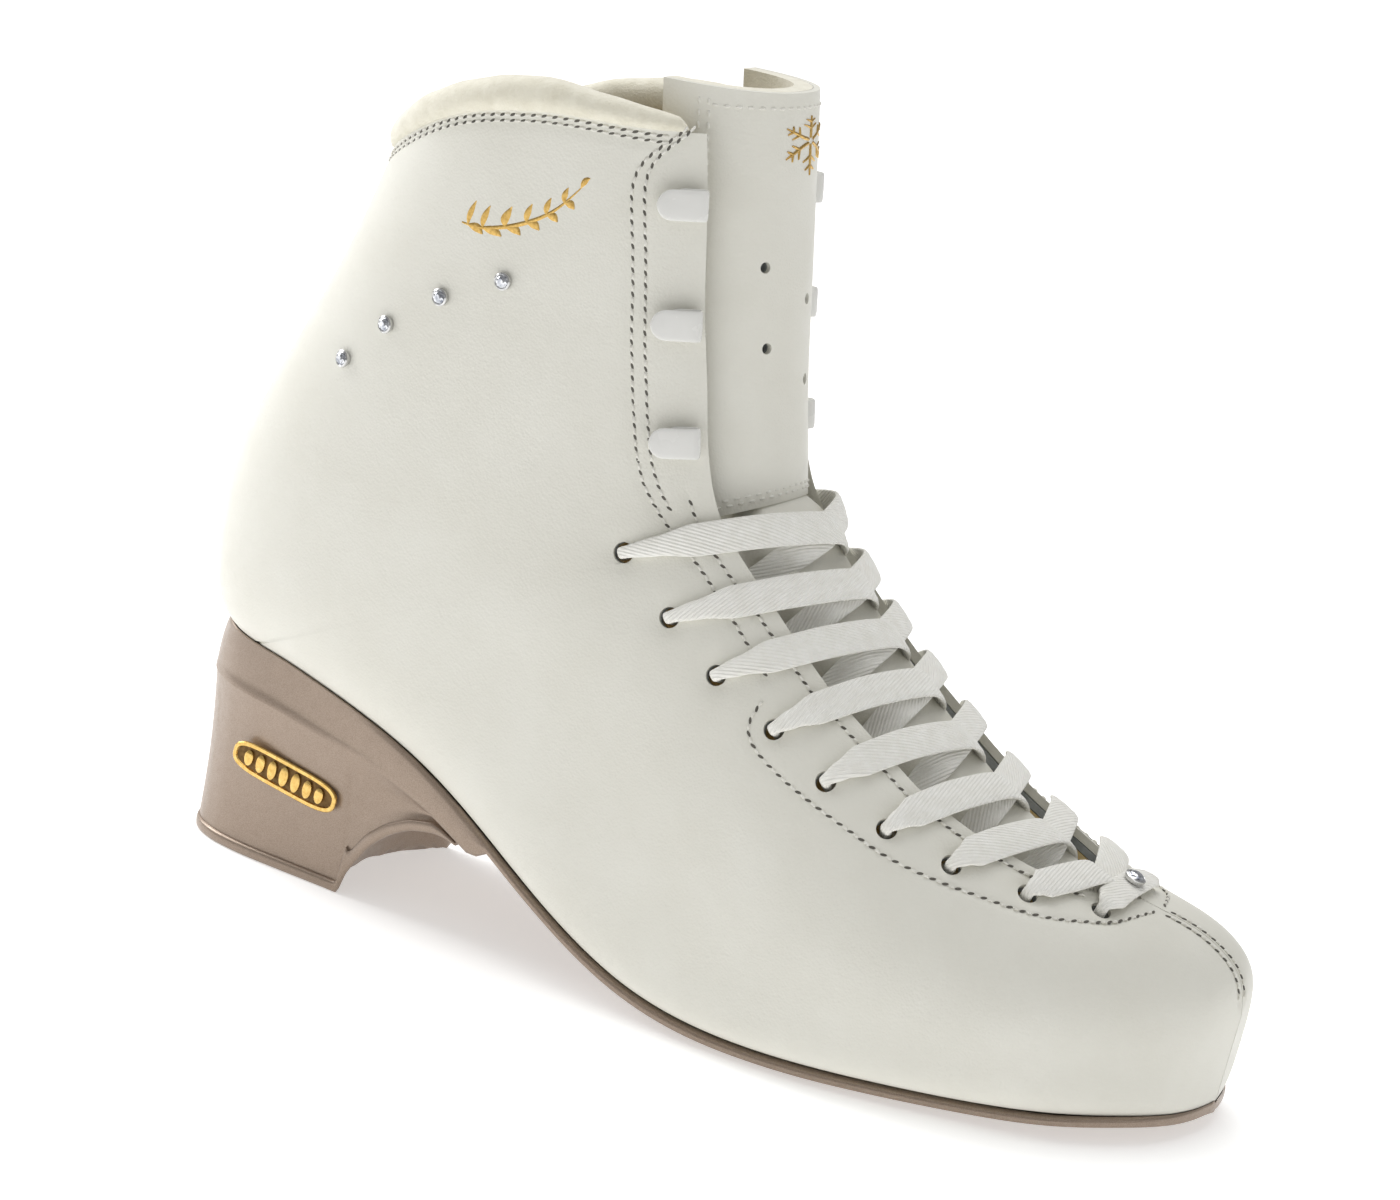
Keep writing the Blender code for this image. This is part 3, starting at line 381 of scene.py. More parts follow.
def tint(look, factor, low, high, span=(0.3, 0.7)):
    """Base colour that runs from low to high with the factor."""
    ramp = add_node(look, "ShaderNodeValToRGB")
    ramp.color_ramp.elements[0].position = span[0]
    ramp.color_ramp.elements[1].position = span[1]
    ramp.color_ramp.elements[0].color = (*low, 1.0)
    ramp.color_ramp.elements[1].color = (*high, 1.0)
    shader = look.node_tree.nodes["Principled BSDF"]
    look.node_tree.links.new(factor, ramp.inputs["Fac"])
    look.node_tree.links.new(ramp.outputs["Color"], shader.inputs["Base Color"])


def vary_roughness(look, factor, low, high):
    span = add_node(look, "ShaderNodeMapRange")
    span.inputs["From Min"].default_value = 0.3
    span.inputs["From Max"].default_value = 0.7
    span.inputs["To Min"].default_value = low
    span.inputs["To Max"].default_value = high
    shader = look.node_tree.nodes["Principled BSDF"]
    look.node_tree.links.new(factor, span.inputs["Value"])
    look.node_tree.links.new(span.outputs["Result"], shader.inputs["Roughness"])


def relief(look, *layers):
    """Bump from (height, distance in metres, strength) layers, coarse to fine."""
    normal = None
    for height, distance, strength in layers:
        made = add_node(look, "ShaderNodeBump", Strength=strength, Distance=distance)
        look.node_tree.links.new(height, made.inputs["Height"])
        if normal is not None:
            look.node_tree.links.new(normal, made.inputs["Normal"])
        normal = made.outputs["Normal"]
    look.node_tree.links.new(normal, look.node_tree.nodes["Principled BSDF"].inputs["Normal"])


def leather_look(name, low, high, roughness, grain):
    look = new_look(name, high, roughness, Coat_Weight=0.06, Coat_Roughness=0.3)
    place = coordinates(look)
    cloudy = noise(look, place, 45.0)
    tint(look, cloudy, low, high)
    vary_roughness(look, noise(look, place, 160.0), roughness - 0.05, roughness + 0.06)
    relief(look, (noise(look, place, 70.0), 0.0012, 0.10),
           (cells(look, place, grain), 0.00018, 0.30),
           (noise(look, place, grain * 2.2), 0.00012, 0.25))
    return look


def suede_look(name, low, high, sheen):
    look = new_look(name, high, 0.95, Sheen_Weight=sheen, Sheen_Roughness=0.6)
    place = coordinates(look)
    tint(look, noise(look, place, 260.0, 5.0), low, high)
    relief(look, (noise(look, place, 320.0), 0.0008, 0.35), (noise(look, place, 1900.0, 5.0), 0.0004, 0.5))
    return look


def metal_look(name, low, high, roughness, flake=900.0):
    look = new_look(name, high, roughness, 1.0)
    place = coordinates(look)
    tint(look, noise(look, place, flake), low, high)
    vary_roughness(look, noise(look, place, 220.0), roughness - 0.05, roughness + 0.08)
    relief(look, (noise(look, place, flake), 0.00005, 0.2))
    return look


def taupe_look():
    look = new_look("pearl_taupe", (0.30, 0.235, 0.195), 0.4, 0.55, Coat_Weight=0.25, Coat_Roughness=0.25)
    place = coordinates(look)
    tint(look, cells(look, place, 4200.0), (0.40, 0.315, 0.25), (0.30, 0.227, 0.172), (0.1, 0.7))
    vary_roughness(look, noise(look, place, 500.0), 0.33, 0.46)
    relief(look, (noise(look, place, 3200.0), 0.00005, 0.3))
    return look


def lace_look():
    """Flat braid: its attribute runs along x and round y, in metres."""
    look = new_look("woven_lace", (0.93, 0.92, 0.87), 0.85, Sheen_Weight=0.25)
    place = coordinates(look, "braid")
    leaning = coordinates(look, "braid", (1.0, 2.2, 1.0))
    tint(look, noise(look, place, 300.0, 4.0), (0.88, 0.865, 0.80), (0.95, 0.94, 0.89))
    relief(look, (bands(look, leaning, 330.0, "DIAGONAL"), 0.0004, 0.45),
           (noise(look, place, 2400.0), 0.0002, 0.4))
    return look


WHITE = leather_look("white_leather", (0.775, 0.76, 0.68), (0.815, 0.803, 0.728), 0.44, 1500.0)
CREAM = suede_look("cream_suede", (0.74, 0.70, 0.56), (0.86, 0.825, 0.69), 0.5)
TAN = leather_look("tan_lining", (0.56, 0.42, 0.19), (0.70, 0.54, 0.27), 0.75, 1100.0)
GREY = suede_look("grey_core", (0.22, 0.235, 0.24), (0.40, 0.42, 0.42), 0.2)
BOARD = leather_look("fibre_board", (0.28, 0.18, 0.10), (0.40, 0.27, 0.15), 0.85, 700.0)
CORK = leather_look("pressed_cork", (0.38, 0.25, 0.13), (0.56, 0.40, 0.24), 0.9, 400.0)
TAUPE = taupe_look()
GOLD = metal_look("gold_plate", (0.62, 0.39, 0.11), (0.84, 0.58, 0.21), 0.24)
BRONZE = metal_look("dark_bronze", (0.10, 0.06, 0.025), (0.20, 0.12, 0.05), 0.45)
FOIL = metal_look("gold_foil", (0.46, 0.28, 0.075), (0.74, 0.50, 0.17), 0.3, 1400.0)
STEEL = metal_look("nickel", (0.50, 0.50, 0.50), (0.72, 0.72, 0.71), 0.2)
ENAMEL = leather_look("white_enamel", (0.76, 0.755, 0.72), (0.82, 0.815, 0.785), 0.25, 300.0)
# base colour mottled from near black to near white: painted sparkle and painted dark reflections of the
# facets
CRYSTAL_PAINTED_SPARKLE = metal_look("foiled_crystal", (0.20, 0.22, 0.27), (0.95, 0.96, 0.98), 0.08, 700.0)
LACE = lace_look()
THREAD = suede_look("waxed_thread", (0.76, 0.74, 0.67), (0.86, 0.85, 0.79), 0.1)
# near black, laid at each needle hole between stitches: painted shade of the hole
PAINTED_HOLE_SHADE = leather_look("needle_hole_painted_shade", (0.08, 0.075, 0.06), (0.15, 0.14, 0.12), 0.8, 1500.0)

# ------------------------------------------------------------------ mesh helpers

SHARP_ANGLE = 40.0          # degrees; an edge steeper than this is shaded sharp


def link(made):
    bpy.context.scene.collection.objects.link(made)


def signed_volume(points, faces):
    total = 0.0
    for face in faces:
        first = points[face[0]]
        for b, c in zip(face[1:-1], face[2:]):
            total += np.dot(first, np.cross(points[b], points[c]))
    return total


def add_piece(name, points, faces, look, body, slot, replaced=(), sharp=SHARP_ANGLE):
    """Closed solid in millimetres, turned outwards, shaded smooth, riding on a body."""
    points = np.asarray(points, float)
    faces = [[int(v) for v in face] for face in faces]
    if signed_volume(points, faces) < 0:
        faces = [face[::-1] for face in faces]
    mesh = bpy.data.meshes.new(name)
    mesh.from_pydata(((points + SHIFT) * 0.001).tolist(), [], faces)
    mesh.materials.append(look)
    made = bpy.data.objects.new(name, mesh)
    link(made)
    mesh.shade_smooth()
    mesh.set_sharp_from_angle(angle=math.radians(sharp))
    if body:
        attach(made, body)
    if replaced:
        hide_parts(*replaced)
    return made


def sheet_faces(rows, columns):
    """Closed solid between two grids of the same size, the second one stored after the first."""
    size = rows * columns
    faces = []
    for i in range(rows - 1):
        for j in range(columns - 1):
            a, b = i * columns + j, i * columns + j + 1
            c, d = b + columns, a + columns
            faces.append([a, b, c, d])
            faces.append([a + size, d + size, c + size, b + size])
    border = [j for j in range(columns)]
    border += [i * columns + columns - 1 for i in range(1, rows)]
    border += [(rows - 1) * columns + j for j in range(columns - 2, -1, -1)]
    border += [i * columns for i in range(rows - 2, 0, -1)]
    faces += [[b, a, a + size, b + size] for a, b in zip(border, border[1:] + border[:1])]
    return faces


def ring_faces(count, around):
    faces = []
    for i in range(count - 1):
        for j in range(around):
            k = (j + 1) % around
            faces.append([i * around + j, i * around + k, (i + 1) * around + k, (i + 1) * around + j])
    faces.append(list(range(around))[::-1])
    faces.append([(count - 1) * around + j for j in range(around)])
    return faces


def add_rings(name, rings, *rest, **more):
    rings = np.asarray(rings, float)
    return add_piece(name, rings.reshape(-1, 3), ring_faces(*rings.shape[:2]), *rest, **more)


def add_sheet(name, outer, inner, *rest, **more):
    points = np.vstack([outer.reshape(-1, 3), inner.reshape(-1, 3)])
    return add_piece(name, points, sheet_faces(*outer.shape[:2]), *rest, **more)


class Cluster:
    """Many small solids that become one piece."""

    def __init__(self):
        self.points, self.faces = [], []

    def add(self, points, faces):
        base = len(self.points)
        self.points += list(np.asarray(points, float))
        self.faces += [[v + base for v in face] for face in faces]

    def add_rings(self, rings):
        rings = np.asarray(rings, float)
        self.add(rings.reshape(-1, 3), ring_faces(*rings.shape[:2]))

    def add_sheet(self, outer, inner):
        self.add(np.vstack([outer.reshape(-1, 3), inner.reshape(-1, 3)]), sheet_faces(*outer.shape[:2]))


def disc_ring(centre, axis, side, radius, count):
    axis, side = unit(np.asarray(axis, float)), np.asarray(side, float)
    side = unit(side - axis * np.dot(side, axis))
    third = np.cross(axis, side)
    turns = [2 * math.pi * n / count for n in range(count)]
    return [centre + radius * (math.cos(a) * side + math.sin(a) * third) for a in turns]


def turned_rings(centre, axis, side, profile, count):
    axis = unit(np.asarray(axis, float))
    return [disc_ring(centre + axis * height, axis, side, radius, count) for height, radius in profile]


def punch(target, spots, radius, reach):
    """Cut round holes through a piece at (centre, axis, side) spots, and apply the cut."""
    drill = Cluster()
    for centre, axis, side in spots:
        drill.add_rings(turned_rings(centre, axis, side, [(-reach[0], radius), (reach[1], radius)], 28))
    cutter = add_piece("drill", drill.points, drill.faces, PAINTED_HOLE_SHADE, None, None)
    step = target.modifiers.new("holes", "BOOLEAN")
    step.operation = "DIFFERENCE"
    step.solver = "EXACT"
    step.object = cutter
    apply_cut(target)
    bpy.data.objects.remove(cutter, do_unlink=True)


def apply_cut(target):
    """Apply a piece's modifiers and shade it smooth again."""
    shown = target.evaluated_get(bpy.context.evaluated_depsgraph_get())
    mesh = bpy.data.meshes.new_from_object(shown)
    target.modifiers.clear()
    target.data = mesh
    mesh.shade_smooth()
    mesh.set_sharp_from_angle(angle=math.radians(SHARP_ANGLE))


# ------------------------------------------------------------------ rows of stitches


class Track:
    """Evenly measured line on a surface, with the surface's normal along it."""

    def __init__(self, points, normals):
        self.points, self.normals = np.asarray(points), np.asarray(normals)
        steps = np.linalg.norm(np.diff(self.points, axis=0), axis=1)
        self.along = np.concatenate([[0.0], np.cumsum(steps)])
        self.length = self.along[-1]

    def at(self, distance):
        place = np.array([np.interp(distance, self.along, self.points[:, k]) for k in range(3)]).T
        normal = unit(np.array([np.interp(distance, self.along, self.normals[:, k]) for k in range(3)]).T)
        return place, normal


def wall_track(stations, angles, sink):
    normals = outward(stations, angles)[0]
    return Track(skin(stations, angles) - normals * sink, normals)


def knot_track(knots, sign, inset=0.0, first=None):
    """Track through (station, distance from the middle) knots on one side."""
    knots = np.array([k for k in knots if first is None or k[0] >= first], float)
    fine = spline_rows(knots, np.linspace(0.0, len(knots) - 1.0, 40 * len(knots)))
    angles = sign * angle_at(fine[:, 0], fine[:, 1] - inset)
    return wall_track(fine[:, 0], angles, STITCH_SINK)


def throat_track(sign):
    stations = np.linspace(3.3, 10.3, 300)
    angles = sign * angle_at(stations, half_gap(stations) + THROAT_INSET)
    return wall_track(stations, angles, STITCH_SINK)


def collar_track(sign, drop):
    """Track below the collar's edge, drop in millimetres."""
    angles = np.linspace(0.86, math.pi, 400)
    stations = collar_line(sign * angles) - drop / 25.0
    return wall_track(stations, sign * angles, STITCH_SINK)


def toe_track(offset):
    stations = np.linspace(0.35, 2.45, 120)
    angles = np.sign(offset) * angle_at(stations, np.full_like(stations, abs(offset)))
    return wall_track(stations, angles, STITCH_SINK)


THREAD_RISE = [(-0.5, -0.25, 0.10), (-0.38, 0.05, 0.26), (-0.18, 0.2, 0.31), (0.0, 0.23, 0.32),
               (0.18, 0.2, 0.31), (0.38, 0.05, 0.26), (0.5, -0.25, 0.10)]


def sew(name, tracks, body, pitch=STITCH_PITCH, thread=0.68):
    """Threads along each track, and between them near-black pieces at the needle holes, painted shade of
    the holes.
    """
    threads, holes = Cluster(), Cluster()
    for track in tracks:
        for number in range(int(track.length / pitch)):
            middle = (number + 0.5) * pitch
            rings = []
            for share, rise, radius in THREAD_RISE:
                place, normal = track.at(middle + share * pitch * thread)
                ahead, _ = track.at(middle + share * pitch * thread + 0.3)
                axis = unit(ahead - place) if np.linalg.norm(ahead - place) > 1e-6 else axis
                rings.append(disc_ring(place + normal * rise, axis, normal, radius, 8))
            threads.add_rings(rings)
            # near-black piece sunk into the needle hole after the stitch: painted shade of the hole
            place, normal = track.at(middle + 0.5 * pitch)
            ahead, _ = track.at(middle + 0.5 * pitch - 0.3)
            run = unit(place - ahead)
            across = np.cross(normal, run)
            run = unit(run + across * 0.35)
            across = np.cross(normal, run)
            turns = np.linspace(0, 2 * math.pi, 10, endpoint=False)
            oval = (np.cos(turns)[:, None] * run * 0.8 + np.sin(turns)[:, None] * across * 0.33)
            holes.add_rings([place - normal * 0.5 + oval * 0.6, place + normal * 0.10 + oval,
                             place + normal * 0.14 + oval * 0.8])
    add_piece(f"{name}_thread", threads.points, threads.faces, THREAD, body, "white_leather")
    add_piece(f"{name}_holes", holes.points, holes.faces, PAINTED_HOLE_SHADE, body, "white_leather")


SIDES = {"lateral": 1.0, "medial": -1.0}
TRACKS = {}
for side, sign in SIDES.items():
    TRACKS[side] = {
        "facing": [knot_track(FACING_ROW, sign), knot_track(FACING_ROW, sign, 1.1, FACING_INNER_END)],
        "vamp": [knot_track(VAMP_ROW, sign)],
        "throat": [throat_track(sign)],
        "collar": [collar_track(sign, 1.7), collar_track(sign, 3.4)],
        "toe": [toe_track(sign * 1.6)],
    }

# ------------------------------------------------------------------ the wall of the boot

ROW_STATIONS = np.concatenate([np.linspace(0.0, 1.0, 22)[:-1], np.linspace(1.0, 12.5, 190)[:-1],
                               np.linspace(12.5, 15.0, 46)])
COLUMN_SHARES = 0.4 * np.linspace(0, 1, 86) + 0.6 * np.linspace(0, 1, 86) ** 2


WALL_REACH = (9.0, 4.0)     # a drill's way into the wall and out of it


def wall_half(sign, depth, stations, shares, stop):
    """Stations and angles of one half of a layer, from the lacing edge to the stop angle."""
    t = stations[:, None]
    first = angle_at(t, half_gap(t), np.full_like(t, depth))
    angle = sign * (first + (stop(t) - first) * shares[None, :])
    lean = CUFF_STATION + (t - CUFF_STATION) * (collar_line(angle) - CUFF_STATION) / 2.5
    return np.where(t > CUFF_STATION, lean, t + 0.0 * angle), angle


def leather_stop(t):
    return MARGIN_ANGLE + (math.pi - MARGIN_ANGLE) * smoothstep(t, SEAT_STATION - 0.02, SEAT_STATION + 0.05)


def padding_stop(t):
    return np.interp(t, [0.0, 7.4, 7.6, 12.4, 12.6, 15.0], [2.5, 2.5, 1.4, 1.4, math.pi, math.pi])


def lining_stop(t):
    return np.full_like(t, math.pi)


def wall_spot(station, angle):
    normal, up = outward(station, angle)
    return skin(station, angle), normal, up


def eyelet_spots(sign):
    return [wall_spot(t, sign * float(angle_at(t, across))) for t, across in EYELETS]


def rivet_spots(sign):
    middle = 0.5 * (HOOK_REACH[0] + HOOK_REACH[1]) + 0.8
    return [wall_spot(t, sign * float(angle_at(t, middle))) for t in HOOK_STATIONS]


def nearest_distance(points, targets):
    tree = kdtree.KDTree(len(targets))
    for n, target in enumerate(targets):
        tree.insert(target, n)
    tree.balance()
    return np.array([tree.find(point)[2] for point in points])


def worked_face(sign, side, t, angle):
    """Outer face of the leather, drawn in along the stitches and round the eyelets."""
    points = skin(t, angle)
    normals = outward(t, angle)[0]
    flat = points.reshape(-1, 3)
    sewn = np.vstack([track.points for rows in TRACKS[side].values() for track in rows])
    groove = STITCH_GROOVE[0] * np.exp(-(nearest_distance(flat, sewn) / STITCH_GROOVE[1]) ** 2)
    laced = np.array([spot[0] for spot in eyelet_spots(sign)])
    dimple = EYELET_DIMPLE[0] * np.exp(-(nearest_distance(flat, laced) / EYELET_DIMPLE[1]) ** 2)
    return points - normals * (groove + dimple).reshape(points.shape[:2])[..., None]


def shifted(grid, sign):
    return grid + np.array([0.0, -sign * SEAM_GAP, 0.0])


for side, sign in SIDES.items():
    t, angle = wall_half(sign, LEATHER[0], ROW_STATIONS, COLUMN_SHARES, leather_stop)
    outer = worked_face(sign, side, t, angle)
    t, angle = wall_half(sign, LEATHER[1], ROW_STATIONS, COLUMN_SHARES, leather_stop)
    upper = add_sheet(f"leather_{side}", shifted(outer, sign), shifted(skin(t, angle, LEATHER[1]), sign),
                      WHITE, "boot", "white_leather", [f"upper_{side}"])
    rows = ROW_STATIONS[ROW_STATIONS > 2.9][::2]
    t, angle = wall_half(sign, MIDDLE[0], rows, COLUMN_SHARES[::2], padding_stop)
    t2, angle2 = wall_half(sign, MIDDLE[1], rows, COLUMN_SHARES[::2], padding_stop)
    core = add_sheet(f"core_{side}", shifted(skin(t, angle, MIDDLE[0]), sign),
                     shifted(skin(t2, angle2, MIDDLE[1]), sign), GREY, "boot", "grey_foam",
                     [f"padding_{side}"])
    rows = ROW_STATIONS[::2]
    t, angle = wall_half(sign, LINING[0], rows, COLUMN_SHARES[::2], lining_stop)
    t2, angle2 = wall_half(sign, LINING[1], rows, COLUMN_SHARES[::2], lining_stop)
    inside = add_sheet(f"inside_{side}", shifted(skin(t, angle, LINING[0]), sign),
                       shifted(skin(t2, angle2, LINING[1]), sign), TAN, "boot", "tan_lining",
                       [f"lining_{side}"])
    for piece in (upper, core, inside):
        punch(piece, eyelet_spots(sign), EYELET_RADIUS, WALL_REACH)
        punch(piece, rivet_spots(sign), RIVET_RADIUS + 0.2, WALL_REACH)
    for name, tracks in TRACKS[side].items():
        sew(f"{name}_{side}", tracks, "boot", 3.0 if name == "vamp" else STITCH_PITCH,
            0.5 if name == "vamp" else 0.68)

# ------------------------------------------------------------------ collar pad

rings = []
section_round = spline_rows(COLLAR_SECTION + COLLAR_SECTION[:1],
                            np.linspace(0, len(COLLAR_SECTION), 33)[:-1])
for a in np.linspace(COLLAR_START, 2 * math.pi - COLLAR_START, 280):
    angle = a if a <= math.pi else a - 2 * math.pi
    station = float(collar_line(angle))
    normal, up = outward(station, angle, 2.5)
    along = unit(skin(station, angle + 0.01, 2.5) - skin(station, angle - 0.01, 2.5))
    up = unit(up - along * np.dot(up, along))
    out = unit(np.cross(along, up))
    start = min(a, 2 * math.pi - a) - COLLAR_START
    height = COLLAR_HEIGHT * (0.32 + 0.68 * min(1.0, start / 0.75) ** 0.7)
    slim = 0.62 + 0.38 * min(1.0, start / 0.4)
    tuck = math.sqrt(min(1.0, start / 0.05 + 0.04))
    wander = 1.0 + 0.02 * math.sin(9.0 * a) + 0.012 * math.sin(23.0 * a + 1.0)
    base = skin(station, angle, 2.5)
    rings.append([base + out * reach * slim * tuck + up * (COLLAR_LIFT + share * height * wander * tuck)
                  for reach, share in section_round])
collar = add_rings("collar_roll", rings, CREAM, "boot", "cream_suede", ["collar_pad"], sharp=80.0)

# ------------------------------------------------------------------ sole, heel and badge


def under_sole(x):
    return smooth_table([p[0] for p in SOLE_UNDER], [p[1] for p in SOLE_UNDER], x)


SOLE_SHARES = np.sin(np.linspace(-math.pi / 2, math.pi / 2, 25))
rings = []
sole_stations = np.concatenate([np.linspace(0.06, 0.9, 14)[:-1], np.linspace(0.9, 9.3, 100)[:-1],
                                np.linspace(9.3, 9.93, 24)])
for station in sole_stations:
    half = float(smooth_table(SOLE_STATION, SOLE_HALF, station))
    angles = angle_at(station, np.abs(SOLE_SHARES) * half, -SOLE_GAP, low=True)
    top = skin(station, np.where(SOLE_SHARES < 0, angles, -angles), -SOLE_GAP)
    walls, lifts = {}, {}
    for end, direction in ((0, -1.0), (-1, 1.0)):
        edge = top[end]
        thick = float(np.interp(station, *SOLE_RIM))
        ground = float(under_sole(edge[0]))
        lifts[end] = max(edge[2] - thick - ground, 0.0)
        drop = edge[2] - 0.3 - ground - lifts[end]
        tall = smoothstep(drop, 7.0, 12.0)
        lean = BAND_LEAN * smoothstep(station, 9.0, 9.93) * tall
        wall = []
        for share in np.linspace(0.0, 1.0, 15):
            slim = np.interp(share, [p[0] for p in SOLE_EDGE], [p[1] for p in SOLE_EDGE])
            foot = float(smooth_table(*zip(*HEEL_TOP_HALF), edge[0] - lean * share))
            band = 0.4 + (foot - abs(edge[1]) - 0.2) * share + BAND_LIP * smoothstep(share, 0.82, 0.92)
            out = slim + (band - slim) * tall
            wall.append(edge + np.array([-lean * share, direction * out, -0.3 - drop * share]))
        walls[end] = wall
    low = top[1:-1].copy()
    shares = SOLE_SHARES[1:-1]
    rise = np.clip((np.abs(shares) - SOLE_FLAT) / (1.0 - SOLE_FLAT), 0.0, 1.0)
    low[:, 2] = under_sole(low[:, 0]) + rise * np.where(shares < 0, lifts[0], lifts[-1])
    rings.append(np.vstack([walls[0][::-1], top[1:-1], walls[-1], low[::-1]]))
add_rings("sole_unit", rings, TAUPE, "boot", "taupe_sole", ["outsole"])


def heel_table(pairs, x):
    return float(smooth_table([p[0] for p in pairs], [p[1] for p in pairs], x))


def heel_section(x):
    """Closed outline of the heel at one x, with a bead round its foot and a waist above."""
    ceiling = float(under_sole(x)) - 0.2
    top_half, foot_half = heel_table(HEEL_TOP_HALF, x), heel_table(HEEL_FOOT_HALF, x)
    floor = heel_table(HEEL_ARCH, x)
    slope = heel_table(HEEL_ARCH, x + 0.5) - heel_table(HEEL_ARCH, x - 0.5)
    bead = min(BEAD_HEIGHT * math.hypot(1.0, slope), 0.6 * (ceiling - floor))
    side = []
    for turn in np.linspace(-math.pi / 2, math.pi / 2, 9):
        side.append((floor + bead / 2 * (1 + math.sin(turn)), foot_half + BEAD_OUT * math.cos(turn) ** 0.6))
    for share in np.linspace(0.06, 1.0, 12):
        z = floor + bead + share * (ceiling - floor - bead)
        half = foot_half + (top_half - foot_half) * share - HEEL_WAIST * math.sin(math.pi * share)
        side.append((z, half))
    points = [(x, -half, z) for z, half in side]
    points += [(x, top_half * share, ceiling) for share in np.linspace(-0.8, 0.8, 9)]
    points += [(x, half, z) for z, half in reversed(side)]
    for share in np.linspace(0.92, -0.92, 17):
        hollow = x + HEEL_HOLLOW * (1 - share * share)
        roof = min(heel_table(HEEL_ARCH, hollow), ceiling - 1.2)
        points.append((x, foot_half * share, max(roof, floor)))
    return points


heel_x = np.concatenate([np.linspace(HEEL_X[0], -126.0, 14)[:-1], np.linspace(-126.0, -84.0, 30)[:-1],
                         np.linspace(-84.0, HEEL_X[1], 50)])
add_rings("heel_block", [heel_section(x) for x in heel_x], TAUPE, "boot", "taupe_sole", ["heel"],
          sharp=50.0)


def badge_point(u, v, out):
    x = u * math.cos(BADGE_LEAN) - v * math.sin(BADGE_LEAN)
    z = u * math.sin(BADGE_LEAN) + v * math.cos(BADGE_LEAN)
    return BADGE_CENTRE + np.array([x, -out - 0.06 * u, z])


def badge_outline(grow, level):
    """Long rounded outline of the badge, grown or shrunk, at a level over the heel."""
    ring = []
    for a in np.linspace(0, 2 * math.pi, 72, endpoint=False):
        u = rounded(math.cos(a), 0.45) * (BADGE_SIZE[0] / 2 + grow)
        v = rounded(math.sin(a), 0.7) * (BADGE_SIZE[1] / 2 + grow)
        ring.append(badge_point(u, v, level))
    return ring


BADGE_RIM = [(0.0, 0.0), (0.55, 0.0), (0.75, -0.2), (0.75, -1.0), (0.35, -1.25), (0.35, -3.0)]
BADGE_BED = [(0.3, -1.2), (0.42, -1.2)]
badge = Cluster()
badge.add_rings([badge_outline(grow, level) for level, grow in BADGE_RIM])
for u in np.linspace(-11.0, 11.0, BADGE_BARS):
    reach = (BADGE_SIZE[1] / 2 - 1.5) * (1 - (u / 24.0) ** 2)
    bar = [[badge_point(u + 1.3 * math.cos(turn) * grow, reach * math.sin(turn) * grow, level)
            for turn in np.linspace(0, 2 * math.pi, 24, endpoint=False)]
           for level, grow in ((0.2, 1.0), (0.9, 1.0), (1.1, 0.8), (1.15, 0.3))]
    badge.add_rings(bar)
bed = [badge_outline(grow, level) for level, grow in BADGE_BED]
add_rings("badge_bed", bed, BRONZE, "boot", "gold_metal")
add_piece("relief_badge", badge.points, badge.faces, GOLD, "boot", "gold_metal", ["heel_badge"])

# ------------------------------------------------------------------ tongue


def tongue_point(row, share, inset):
    """Upper tongue: a channel, crest forward, sides running back into the boot."""
    row, share = np.broadcast_arrays(np.asarray(row, float), share)
    crest = spline_rows(TONGUE_CREST, row)
    back = unit(np.stack([-np.ones_like(row), np.zeros_like(row), -crest[..., 2]], -1))
    angle = share * math.pi / 2
    y = (TONGUE_HALF - inset) * np.sign(share) * np.abs(np.sin(angle)) ** 0.85
    behind = inset + (TONGUE_DEPTH - inset) * (1 - np.maximum(np.cos(angle), 0.0) ** 0.9)
    front = np.stack([crest[..., 0], y, crest[..., 1]], -1)
    return front + back * behind[..., None]


def tongue_normal(row, share):
    up = tongue_point(row + 0.02, share, 0.0) - tongue_point(row - 0.02, share, 0.0)
    around = tongue_point(row, share + 0.01, 0.0) - tongue_point(row, share - 0.01, 0.0)
    normal = unit(np.cross(around, up))
    return normal * np.where(normal[..., :1] < 0, -1.0, 1.0)


def tongue_track(rows, shares):
    normals = tongue_normal(rows, shares)
    return Track(tongue_point(rows, shares, 0.0) - normals * 0.17, normals)


TOP_ROW = len(TONGUE_CREST) - 1.0
up_rows = np.linspace(0.0, TOP_ROW, 70)[:, None]
across = np.linspace(-1.0, 1.0, 81)[None, :]
UPPER_TONGUE = {
    "leather": (TONGUE_LEATHER, WHITE, "white_leather", "tongue_upper_leather"),
    "foam": (TONGUE_FOAM, GREY, "grey_foam", "tongue_upper_foam"),
    "lining": (TONGUE_LINING, CREAM, "cream_suede", "tongue_upper_lining"),
}
hole_spots = []
for row, share in TONGUE_HOLES:
    normal = tongue_normal(np.float64(row), np.float64(share))
    hole_spots.append((tongue_point(row, share, 0.0), normal, np.array([0.0, 0.0, 1.0])))
for name, (depths, look, slot, node) in UPPER_TONGUE.items():
    rows, outer_depth = up_rows, depths[0]
    if name == "foam":
        rows = up_rows * (1.0 - 0.2 / TOP_ROW)
    if name == "lining":
        outer_depth = depths[0] - 3.0 * smoothstep(up_rows, TOP_ROW - 0.18, TOP_ROW - 0.05)
    flap = add_sheet(f"flap_{name}", tongue_point(rows, across, outer_depth),
                     tongue_point(rows, across, depths[1]), look, None, slot, [node])
    if name != "lining":
        punch(flap, hole_spots, TONGUE_HOLE_RADIUS, (3.5, 3.0))
    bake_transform(flap)


